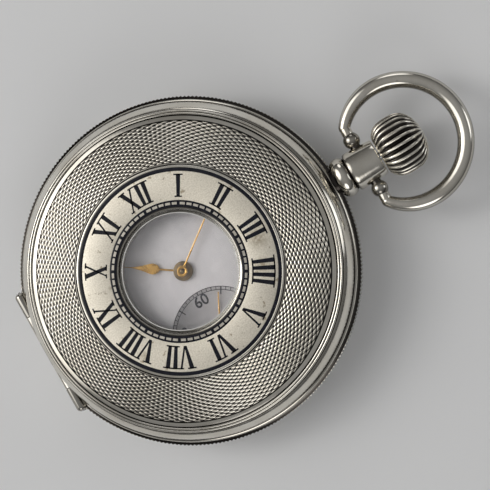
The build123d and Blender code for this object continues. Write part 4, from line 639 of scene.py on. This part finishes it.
def crownPiece(look):
    # radius = outline along the axis less a hollow between ribs: (1 - |cos(ribs a / 2)|^ribPower) x depth share
    knots, radiusKnots, depthKnots = np.array(look["outline"]).T
    along = np.concatenate([np.linspace(0, look["sideTo"], look["sideRows"]),
                            np.linspace(look["capFrom"], 1, look["capRows"])])
    radiusShare = np.interp(along, knots, radiusKnots)
    smooth = look["smooth"]
    smoothRadius = np.convolve(np.pad(radiusShare, smooth // 2, "edge"), np.ones(smooth) / smooth, "valid")
    radiusShare = np.where((along > knots[1]) & (along < look["sideTo"]), smoothRadius, radiusShare)
    depthShare = np.interp(along, knots, depthKnots)
    count = look["ribs"] * look["pointsARib"]
    angle = np.arange(count) * (turn / count)
    hollow = 1 - np.abs(np.cos(look["ribs"] * angle / 2))**look["ribPower"]
    radius = look["radius"] * radiusShare[:, None] - look["ribDepth"] * depthShare[:, None] * hollow[None, :]
    radius = np.maximum(radius, look["least"])
    x = look["start"] + look["length"] * np.broadcast_to(along[:, None], radius.shape)
    points = np.stack([x, radius * np.cos(angle), look["height"] + radius * np.sin(angle)], -1)
    foot, cap = points[:1].copy(), points[-1:].copy()
    for end in (foot, cap):
        end[..., 1], end[..., 2] = 0, look["height"]
    points = np.concatenate([foot, points, cap])
    # painted shade: dark in the hollows between ribs and at the foot, none at the cap
    values = np.clip(look["tarnishAndShade"] * hollow[None, :] * depthShare[:, None], 0, 1)
    values = np.concatenate([np.ones((1, count)), values, np.zeros((1, count))])
    piece = roundPiece("crownKnob", points, "engravedSilver", "stem", "silver", values=values, sharp=50.0)
    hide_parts("crown")


crownPiece(crownLook)

# Pendant: neck, polished collar and the two bosses that hold the bow
pendantLook = dict(
    height=6.25, around=96, neckStart=27.1, neckDark=0.4, neckTarnishAndShade=(0.15, 0.75),
    neck=[(0, 1.08), (0, 2.45), (0.12, 2.78), (0.5, 2.88), (4.1, 2.69), (4.6, 2.62), (4.6, 1.08)],
    neckRound=[0.01, 0.1, 0.15, 0.3, 0.3, 0.18, 0.05], collarFoot=[(24.35, 1.08), (24.35, 2.1), (24.78, 2.1)],
    collarBead=[(24.8, 2.2), (25.98, 2.94), (27.16, 2.2)], collarEnd=(27.17, 1.08), collarDark=1.2,
    collarTarnishAndShade=(0.1, 0.9), bossTarnishAndShade=(0.35, 0.5), bossDarkest=0.9, bossX=29.5, bossY=3.895, boss=1.2,
    bossAround=40, ballStart=(-0.92, 0.77), shank=[(-1.9, 0.0), (-1.9, 0.78), (-0.98, 0.76)])


def pendantPiece(name, profile, start, hollow, replaced):
    # a closed profile carried round the pendant's axis, with its painted shade along it
    points = turnedAlong(profile, pendantLook["around"], start, pendantLook["height"])
    piece = roundPiece(name, points, "polishedSilver", "case", "silver", True, hollow[:, None])
    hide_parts(replaced)


# painted shade: the neck is dark next to the collar, and the collar at both sides of its bead, its crest left
# bright
neck = roundedLine(pendantLook["neck"], pendantLook["neckRound"], 5)
least, more = pendantLook["neckTarnishAndShade"]
neckPaintedShade = least + more * np.clip(1 - neck[:, 0] / pendantLook["neckDark"], 0, 1)
pendantPiece("pendantNeck", neck, pendantLook["neckStart"], neckPaintedShade, "pendant")
collar = np.concatenate([pendantLook["collarFoot"], arcThrough(*pendantLook["collarBead"], 20),
                         [pendantLook["collarEnd"]]])
fromCrest = np.abs(collar[:, 0] - pendantLook["collarBead"][1][0]) / pendantLook["collarDark"]
least, more = pendantLook["collarTarnishAndShade"]
pendantPiece("pendantCollar", collar, 0, np.clip(fromCrest, 0, 1)**3 * more + least, "pendant_collar")


def bossPiece(name, side):
    # a short shank ending in a ball, carried round an axis in Y; painted shade darkens it away from the ball's
    # middle and at the shank's end
    look = pendantLook
    ball = arcThrough(look["ballStart"], (0.0, look["boss"]), (look["boss"], 0.0), 20)
    profile = np.concatenate([look["shank"], ball])
    least, more = look["bossTarnishAndShade"]
    values = np.clip(least + more * np.abs(profile[:, 0]), 0, look["bossDarkest"])
    values[0] = 1
    profile[:, 0] = side * (look["bossY"] + profile[:, 0])
    points = turnedAcross(profile, look["bossAround"], look["bossX"], look["height"])
    roundPiece(name, points, "polishedSilver", "case", "silver", values=values[:, None])


bossPiece("bossUpper", 1)
bossPiece("bossLower", -1)

# Bow: a ring whose radius and wire shrink a little towards its two ends, which stand over the bosses
bowLook = dict(
    x=35.3, radius=8.85, wire=1.17, endWire=0.82, pull=0.55, bend=0.44, height=6.25, endY=5.945, pinX=29.5,
    pin=0.8, pinFrom=4.5, pinTo=6.1, pinRound=0.02, stations=96, around=32, capSteps=8, pinAround=24,
    tarnishAndShade=(0.1, 0.62))


def bowPiece(look):
    # centre line: a circle pulled in towards its ends; each section is a circle across it, its sides darker as a
    # painted reflection of a dark room; the caps are half balls: reach wire sin b and radius wire cos b, from b =
    # 90 degrees to 0
    endAngle = math.atan2(look["endY"], look["pinX"] - look["x"])
    angle = np.linspace(-endAngle, endAngle, look["stations"])
    bendStart = endAngle * (1 - look["bend"])
    pull = np.clip(np.abs(angle) - bendStart, 0, None) / (endAngle - bendStart)
    reach = look["radius"] - look["pull"] * pull**2
    centre = np.stack([look["x"] + reach * np.cos(angle), reach * np.sin(angle)], 1)
    along = np.gradient(centre, axis=0)
    along /= np.linalg.norm(along, axis=1, keepdims=True)
    wire = look["wire"] + (look["endWire"] - look["wire"]) * pull**2
    steps = look["capSteps"]
    cap = np.linspace(np.pi / 2, 0, steps + 1)[:-1]
    outwards = np.concatenate([-np.sin(cap) * wire[0], np.zeros(len(centre)), np.sin(cap[::-1]) * wire[-1]])
    shrink = np.concatenate([np.cos(cap), np.ones(len(centre)), np.cos(cap[::-1])])
    centre, along = (np.pad(line, [(steps, steps), (0, 0)], "edge") for line in (centre, along))
    centre, wire = centre + along * outwards[:, None], np.pad(wire, steps, "edge") * shrink
    side = np.stack([along[:, 1], -along[:, 0]], 1)
    section = np.arange(look["around"]) * (turn / look["around"])
    points = np.concatenate([centre[:, None] + wire[:, None, None] * np.cos(section)[None, :, None] * side[:, None],
                             look["height"] + wire[:, None, None] * np.sin(section)[None, :, None]], -1)
    # painted reflection: the sides of the wire are darker than its top and bottom
    least, more = look["tarnishAndShade"]
    piece = roundPiece("bowRing", points, "polishedSilver", "bow", "silver",
                       values=least + more * np.abs(np.cos(section))**5)
    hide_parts("bow")


def bowPin(name, side, look):
    # a rod along Y from inside the boss to inside the ring's end
    rod = roundedLine([(look["pinFrom"], 0.0), (look["pinFrom"], look["pin"]), (look["pinTo"], look["pin"]),
                       (look["pinTo"], 0.0)], look["pinRound"], 3, False)
    points = turnedAcross(rod * (side, 1), look["pinAround"], look["pinX"], look["height"])
    roundPiece(name, points, "polishedSilver", "bow", "silver")


bowPiece(bowLook)
bowPin("bowPinLower", -1, bowLook)
bowPin("bowPinUpper", 1, bowLook)
print("pendant, bow and crown made")

# Hinge knuckles of the covers: splits are shares of the hinge's length, and own says which stretches a cover has
hingeLook = dict(
    x=-23.4, radius=0.75, length=19.6, gap=0.06, around=28, endSteps=8, outerRound=0.9, innerRound=0.08,
    tarnishAndShade=0.5)
knuckleLooks = {
    "lidKnuckles": dict(height=7.9, splits=(-0.5, -0.3, -0.1, 0.1, 0.3, 0.5), own=(0, 2, 4), body="front_lid"),
    "backKnuckles": dict(height=4.6, splits=(-0.5, -0.34, -0.18, 0.18, 0.34, 0.5), own=(0, 4), body="back_cover"),
}


def knucklesPiece(name, look):
    # short rods along the hinge line, whose ends narrow as radius sin b at round (1 - cos b) from the end
    around, radius = hingeLook["around"], hingeLook["radius"]
    bend = np.linspace(0, np.pi / 2, hingeLook["endSteps"])
    rods = []
    for i in look["own"]:
        start = look["splits"][i] * hingeLook["length"] + hingeLook["gap"] / 2
        end = look["splits"][i + 1] * hingeLook["length"] - hingeLook["gap"] / 2
        lowRound, highRound = (radius * hingeLook["outerRound" if i == last else "innerRound"] for last in (0, 4))
        profile = np.concatenate([
            np.stack([start + lowRound * (1 - np.cos(bend)), radius * np.sin(bend)], 1),
            np.stack([end - highRound * (1 - np.cos(bend)), radius * np.sin(bend)], 1)[::-1]])
        rods.append(turnedAcross(profile, around, hingeLook["x"], look["height"]))
    rows = len(profile)
    faces = [gridFaces(rows, around, False, True) + i * rows * around for i in range(len(rods))]
    pieceFrom(name, np.concatenate(rods), np.concatenate(faces), "polishedSilver", look["body"], "silver",
              values=np.full(len(rods) * rows * around, hingeLook["tarnishAndShade"]))


for name, look in knuckleLooks.items():
    knucklesPiece(name, look)

# Hands: a plate of changing width with a low dome across it; outline: distance from the centre and half the width
handLook = dict(stations=140, across=9, fullDome=0.3, underWidth=0.96)
handLooks = {
    "hourHand": dict(
        turn=146.0, low=9.30, thick=0.1, dome=0.06, centre=(0, 0), body="hour", node="hour_hand",
        outline=[(-1.2, 0.02), (-1.14, 0.4), (-0.85, 0.8), (0, 1.15), (0.85, 0.8), (1.14, 0.3), (1.4, 0.14),
                 (3.3, 0.12), (3.42, 0.2), (3.55, 0.38), (3.75, 0.57), (4.05, 0.72), (4.4, 0.78), (4.75, 0.73),
                 (5.1, 0.63), (5.5, 0.5), (6.0, 0.36), (6.5, 0.24), (7.0, 0.15), (7.5, 0.09), (8.0, 0.055),
                 (12.4, 0.04), (12.5, 0.01)]),
    "minuteHand": dict(
        turn=36.0, low=9.75, thick=0.1, dome=0.06, centre=(0, 0), body="centre", node="minute_hand",
        outline=[(-0.85, 0.02), (-0.8, 0.3), (-0.58, 0.58), (0, 0.82), (0.58, 0.58), (0.8, 0.22), (1.15, 0.1),
                 (9.0, 0.085), (14.0, 0.08), (14.6, 0.2), (15.3, 0.5), (15.9, 0.42), (16.6, 0.16), (17.3, 0.05),
                 (17.4, 0.01)]),
    "secondsHand": dict(
        turn=63.0, low=9.0, thick=0.07, dome=0.04, centre=(0, -10.508), body="fourth", node="seconds_hand",
        outline=[(-1.8, 0.02), (-1.75, 0.12), (-0.75, 0.12), (-0.5, 0.5), (0, 0.72), (0.5, 0.5), (0.75, 0.12),
                 (6.1, 0.07), (6.25, 0.01)]),
}


def handPiece(name, look):
    # across the hand the height is low + thick + dome (1 - s^2), with s from edge to edge; the underside is flat
    # and the whole is turned about Z to its heading
    stations, across = handLook["stations"], handLook["across"]
    outline = np.array(look["outline"])
    knots = np.concatenate([[0], np.cumsum(np.hypot(*np.diff(outline, axis=0).T))])
    t = np.linspace(0, knots[-1], stations)
    along, half = (np.interp(t, knots, line)[:, None] for line in outline.T)
    s = np.linspace(-1, 1, across)
    rise = look["thick"] + look["dome"] * np.minimum(half / handLook["fullDome"], 1) * (1 - s**2)
    sides = np.concatenate([s, np.array([1, 0, -1]) * handLook["underWidth"]])
    heights = look["low"] + np.concatenate([rise, np.zeros((stations, 3))], 1)
    heading = math.radians(look["turn"])
    x = look["centre"][0] + along * math.cos(heading) - half * sides * math.sin(heading)
    y = look["centre"][1] + along * math.sin(heading) + half * sides * math.cos(heading)
    points = np.stack([x, y, heights], -1)
    columns = len(sides)
    ends = np.array([np.arange(columns), (stations - 1) * columns + np.arange(columns)[::-1]])
    faces = gridFaces(stations, columns, False, True).tolist() + ends.tolist()
    piece = pieceFrom(name, points, faces, "handGold", look["body"], "hand_gold", sharp=40.0)
    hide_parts(look["node"])


for name, look in handLooks.items():
    handPiece(name, look)
hubLooks = [  # name, profile as radius and height, rounding of its corners, columns, hole, finish, body and slot
    ("hourHub", [(0, 9.5), (1.4, 9.46), (1.4, 9.3), (0, 9.3)], [0, 0.04, 0.01, 0], 64, False, "shadedDarkBrass", "hour",
     "hand_gold"),
    ("minuteHub", [(0.42, 9.95), (0.68, 9.98), (0.78, 9.87), (0.78, 9.72), (0.42, 9.72)],
     [0.02, 0.06, 0.05, 0.01, 0.01], 64, True, "handGold", "centre", "hand_gold"),
    ("handPin", [(0, 10.12), (0.25, 10.1), (0.4, 10.0), (0.4, 9.7), (0, 9.7)], [0, 0.08, 0.06, 0.01, 0], 48, False,
     "shadedDarkBrass", "centre", "steel"),
]
for name, profile, rounds, columns, hole, coat, body, slot in hubLooks:
    turnedPiece(name, roundedLine(profile, rounds, 4, hole), columns, coat, body, slot, loop=hole)
print("hands made")

# Dial prints: generic chapters, minute track and the sunk seconds track
dialLook = dict(
    top=8.9, ink=0.018, under=0.01, numeralIn=14.9, numeralOut=18.4, numeralScale=1.12, tickIn=18.95,
    tickOut=19.65, minuteHalf=0.045, hourHalf=0.11, ringEdge=0.005,
    rings=[("dialTrackIn", 18.9, 18.97), ("dialTrackOut", 19.63, 19.7)])
secondsLook = dict(
    top=8.725, centre=(0.0, -10.508), tickIn=6.48, longIn=5.85, tickOut=6.97, secondHalf=0.045, fifthHalf=0.075,
    rings=[("secondsTrackIn", 6.44, 6.53), ("secondsTrackOut", 6.9, 6.99)], digitsAt=5.55, digitsSize=2.2,
    digitsBold=0.03, digitsLift=0.004, curveSteps=6)


def inkPieces(name, patches, look, centre=(0, 0)):
    # marks and thin rings of ink, from a little under the enamel's face to the ink's thickness above it
    low, high = look["top"] - dialLook["under"], look["top"] + dialLook["ink"]
    patchPiece(name, patches, low, high, "printInk", "case", "enamel", centre)
    for ringName, inner, outer in look["rings"]:
        flatRing(ringName, inner, outer, low, high, "printInk", "case", "enamel", dialLook["ringEdge"], centre)


dialPatches = [straightMark(dialLook["minuteHalf" if minute % 5 else "hourHalf"], dialLook["tickIn"],
                            dialLook["tickOut"], 90 - 6 * minute) for minute in range(60)]
# the seconds dial stands in the place of the six
dialPatches += romanPatches([hour for hour in range(12) if hour != 6], dialLook["numeralIn"],
                            dialLook["numeralOut"], dialLook["numeralScale"])
inkPieces("dialChapters", dialPatches, dialLook)
# the seconds marks reach further in half way between the digits
secondsPatches = [straightMark(secondsLook["secondHalf" if second % 5 else "fifthHalf"],
                               secondsLook["longIn" if second % 10 == 5 else "tickIn"], secondsLook["tickOut"],
                               90 - 6 * second) for second in range(60)]
inkPieces("secondsTicks", secondsPatches, secondsLook, secondsLook["centre"])


def digitsPiece(tens, look):
    # plain digits at their place round the track, made a mesh with a thickness of the ink
    text = str(10 * tens or 60)
    words = bpy.data.curves.new("secondsDigits" + text, "FONT")
    words.body = text
    words.size = look["digitsSize"] * mm
    words.align_x = "CENTER"
    words.align_y = "CENTER"
    words.extrude = dialLook["ink"] / 2 * mm
    words.resolution_u = look["curveSteps"]
    words.offset = look["digitsBold"] * mm
    holder = bpy.data.objects.new(words.name, words)
    mesh = bpy.data.meshes.new_from_object(holder)
    bpy.data.objects.remove(holder)
    heading = math.radians(90 - 60 * tens)
    place = (look["centre"][0] + look["digitsAt"] * math.cos(heading),
             look["centre"][1] + look["digitsAt"] * math.sin(heading), look["top"] + look["digitsLift"])
    mesh.transform(Matrix.Translation([p * mm for p in place]))
    mended(mesh, weldNear, outwards=True)
    dressed("secondsDigits" + text, mesh, "printInk", "case", 32.0)


for tens in range(6):
    digitsPiece(tens, secondsLook)
print("dial prints made")


# CAD nodes that keep their shape: a merged, smoothly shaded copy with the node's own finish
def smoothCopy(node, coat, shadeByPlace=None, sharp=30.0):
    # the function given here gives each of the copy's points its painted shade by its place
    source = frame["nodes"][node]
    mesh = source.data.copy()
    mended(mesh, copyNear, outwards=False)
    if shadeByPlace is not None:
        points = np.zeros(len(mesh.vertices) * 3)
        mesh.vertices.foreach_get("co", points)
        holdHollow(mesh, shadeByPlace(points.reshape(-1, 3) / mm))
    piece = dressed(node + "Finished", mesh, coat, source["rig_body"], sharp)
    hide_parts(node)


bandLook = dict(ledge=24.3, low=4.9, high=7.6, crest=24.98, reed=0.12)


def bandHollows(points):
    # painted shade: the band is dark between its reeds and on its narrow ledge under the lid's lip, and plain on
    # the crests
    radius, height = np.hypot(points[:, 0], points[:, 1]), points[:, 2]
    onBand = (radius > bandLook["ledge"]) & (height > bandLook["low"]) & (height < bandLook["high"])
    return np.where(onBand, np.clip((bandLook["crest"] - radius) / bandLook["reed"], 0, 1), 0)


smoothCopy("case_middle", "polishedSilver", bandHollows)
smoothCopy("dial", "dialEnamel", sharp=3.0)
keptNodes = {
    ("polishedSilver", "silver"): ("pendant_sleeve", "inner_bezel"),
    ("innerSilver", "silver"): ("cuvette",),
    ("polishedSteel", "steel"): (
        "winding_stem", "winding_pinion", "sliding_pinion", "setting_lever", "yoke", "lock_spring", "fly_spring",
        "hinge_pins", "crown_wheel", "ratchet_wheel", "click", "barrel_arbor", "centre_pinion", "third_pinion",
        "fourth_pinion", "escape_pinion", "escape_wheel", "cannon_pinion", "balance_staff", "pallet_fork",
        "setting_wheel_inner", "setting_wheel_outer", "regulator", "mainspring"),
    ("blueSteel", "blued_steel"): ("movement_screws", "case_screws", "ratchet_screw", "click_spring", "hairspring"),
    ("frostedGilt", "gilt"): ("main_plate", "three_quarter_plate", "plate_pillars", "crown_wheel_bridge",
                              "pallet_bridge", "balance_cock"),
    ("wheelBrass", "wheel_brass"): ("barrel", "barrel_cover", "centre_wheel", "third_wheel", "fourth_wheel",
                                    "minute_wheel", "hour_wheel", "balance_wheel"),
    ("ruby", "jewel"): ("jewels",),
}
for (coat, slot), nodes in keptNodes.items():
    for node in nodes:
        smoothCopy(node, coat)
print("kept nodes dressed")

# Pale floor: half its side, its level and the size of its clouds in millimetres
floorLook = dict(half=1500, level=-0.02, cloud=60, light=(0.76, 0.765, 0.775), dark=(0.79, 0.795, 0.805), rough=0.7)
floorMesh = bpy.data.meshes.new("paleFloor")
floorCorners = [(x * floorLook["half"], y * floorLook["half"], floorLook["level"])
                for x, y in ((-1, -1), (1, -1), (1, 1), (-1, 1))]
floorMesh.from_pydata(np.array(floorCorners) * mm, [], [(0, 1, 2, 3)])
floor = bpy.data.objects.new("paleFloor", floorMesh)
watchScene.collection.objects.link(floor)
floorMaterial, floorTree, floorShader, floorWhere = newFinish("paleFloor")
floorTone = remapped(floorTree, noiseAt(floorTree, floorWhere, floorLook["cloud"], 3), *roughEdges, 0, 1)
floorTree.links.new(mixedColour(floorTree, floorTone, floorLook["light"], floorLook["dark"]),
                    floorShader.inputs["Base Color"])
floorShader.inputs["Roughness"].default_value = floorLook["rough"]
floorMesh.materials.append(floorMaterial)

# The studio: a dark room with soft panels; each panel glows from full inside to nothing outside, by angle
studioLook = dict(room=0.07, zenith=0.30, panels=[
    dict(towards=(-0.62, 0.42, 0.66), inner=24, outer=34, glow=1.32, colour=(1.0, 0.985, 0.955)),
    dict(towards=(-0.25, -0.80, 0.50), inner=13, outer=20, glow=1.7, colour=(1.0, 0.99, 0.975)),
    dict(towards=(0.93, -0.16, 0.30), inner=9, outer=15, glow=1.5, colour=(0.96, 0.98, 1.0)),
    dict(towards=(0.35, 0.88, 0.28), inner=9, outer=15, glow=1.3, colour=(1.0, 1.0, 1.0)),
    dict(towards=(-0.96, -0.12, 0.22), inner=6, outer=11, glow=0.9, colour=(1.0, 0.99, 0.97))])


def studioWorld(look):
    # the room's light grows from level to overhead, and each panel adds its glow by the angle to its middle
    world = bpy.data.worlds.new("studio")
    watchScene.world = world
    world.use_nodes = True
    tree = world.node_tree
    direction = tree.nodes.new("ShaderNodeTexCoord").outputs["Generated"]
    split = tree.nodes.new("ShaderNodeSeparateXYZ")
    tree.links.new(direction, split.inputs["Vector"])
    height = remapped(tree, split.outputs["Z"], 0.0, 1.0, 0, 1)
    total = mixedColour(tree, height, (look["room"],) * 3, (look["zenith"],) * 3)
    for panel in look["panels"]:
        towards = np.array(panel["towards"]) / np.linalg.norm(panel["towards"])
        dot = worked(tree, "ShaderNodeVectorMath", "DOT_PRODUCT", direction, towards.tolist())["Value"]
        outer, inner = (math.cos(math.radians(panel[edge])) for edge in ("outer", "inner"))
        share = remapped(tree, dot, outer, inner, 0, 1)
        glow = mixedColour(tree, share, (0.0, 0.0, 0.0), tuple(panel["glow"] * c for c in panel["colour"]))
        total = worked(tree, "ShaderNodeVectorMath", "ADD", total, glow)["Vector"]
    tree.links.new(total, tree.nodes["Background"].inputs["Color"])
    tree.nodes["Background"].inputs["Strength"].default_value = 1.0


studioWorld(studioLook)


def placedAt(holder, axes, place):
    # a matrix with the axes as its columns and the place, given in millimetres, in metres
    rows = np.array(axes, float).T.tolist()
    holder.matrix_world = Matrix([(*row, p * mm) for row, p in zip(rows, place)] + [(0, 0, 0, 1)])


# Key lamp: place, aim and size in millimetres, power in watts
lampLook = dict(place=(-260, 200, 330), aim=(0, 0, 0), size=(150, 150), power=0.34, colour=(1.0, 0.985, 0.96))
lamp = bpy.data.lights.new("keyLamp", "AREA")
lamp.shape = "RECTANGLE"
lamp.size, lamp.size_y = lampLook["size"][0] * mm, lampLook["size"][1] * mm
lamp.energy = lampLook["power"]
lamp.color = lampLook["colour"]
keyLamp = bpy.data.objects.new("keyLamp", lamp)
watchScene.collection.objects.link(keyLamp)
away = np.subtract(lampLook["place"], lampLook["aim"]).astype(float)
away /= np.linalg.norm(away)
sideways = np.cross((0, 0, 1), away)
sideways /= np.linalg.norm(sideways)
placedAt(keyLamp, (sideways, np.cross(away, sideways), away), lampLook["place"])

# Camera: as the photograph was taken, with its lens and sensor in millimetres and its clipping in metres
cameraLook = dict(
    place=(34.834, -15.924, 174.824), right=(0.84847, -0.49969, -0.17438), up=(0.50722, 0.86182, -0.00164),
    back=(0.15110, -0.08706, 0.98468), sensor=36.0, lens=88.16, near=0.005, far=10.0)
cameraData = bpy.data.cameras.new("photoView")
cameraData.sensor_width = cameraLook["sensor"]
cameraData.sensor_fit = "HORIZONTAL"
cameraData.lens = cameraLook["lens"]
cameraData.clip_start = cameraLook["near"]
cameraData.clip_end = cameraLook["far"]
camera = bpy.data.objects.new("photoView", cameraData)
watchScene.collection.objects.link(camera)
placedAt(camera, (cameraLook["right"], cameraLook["up"], cameraLook["back"]), cameraLook["place"])
watchScene.camera = camera
watchScene.view_settings.view_transform = "Standard"
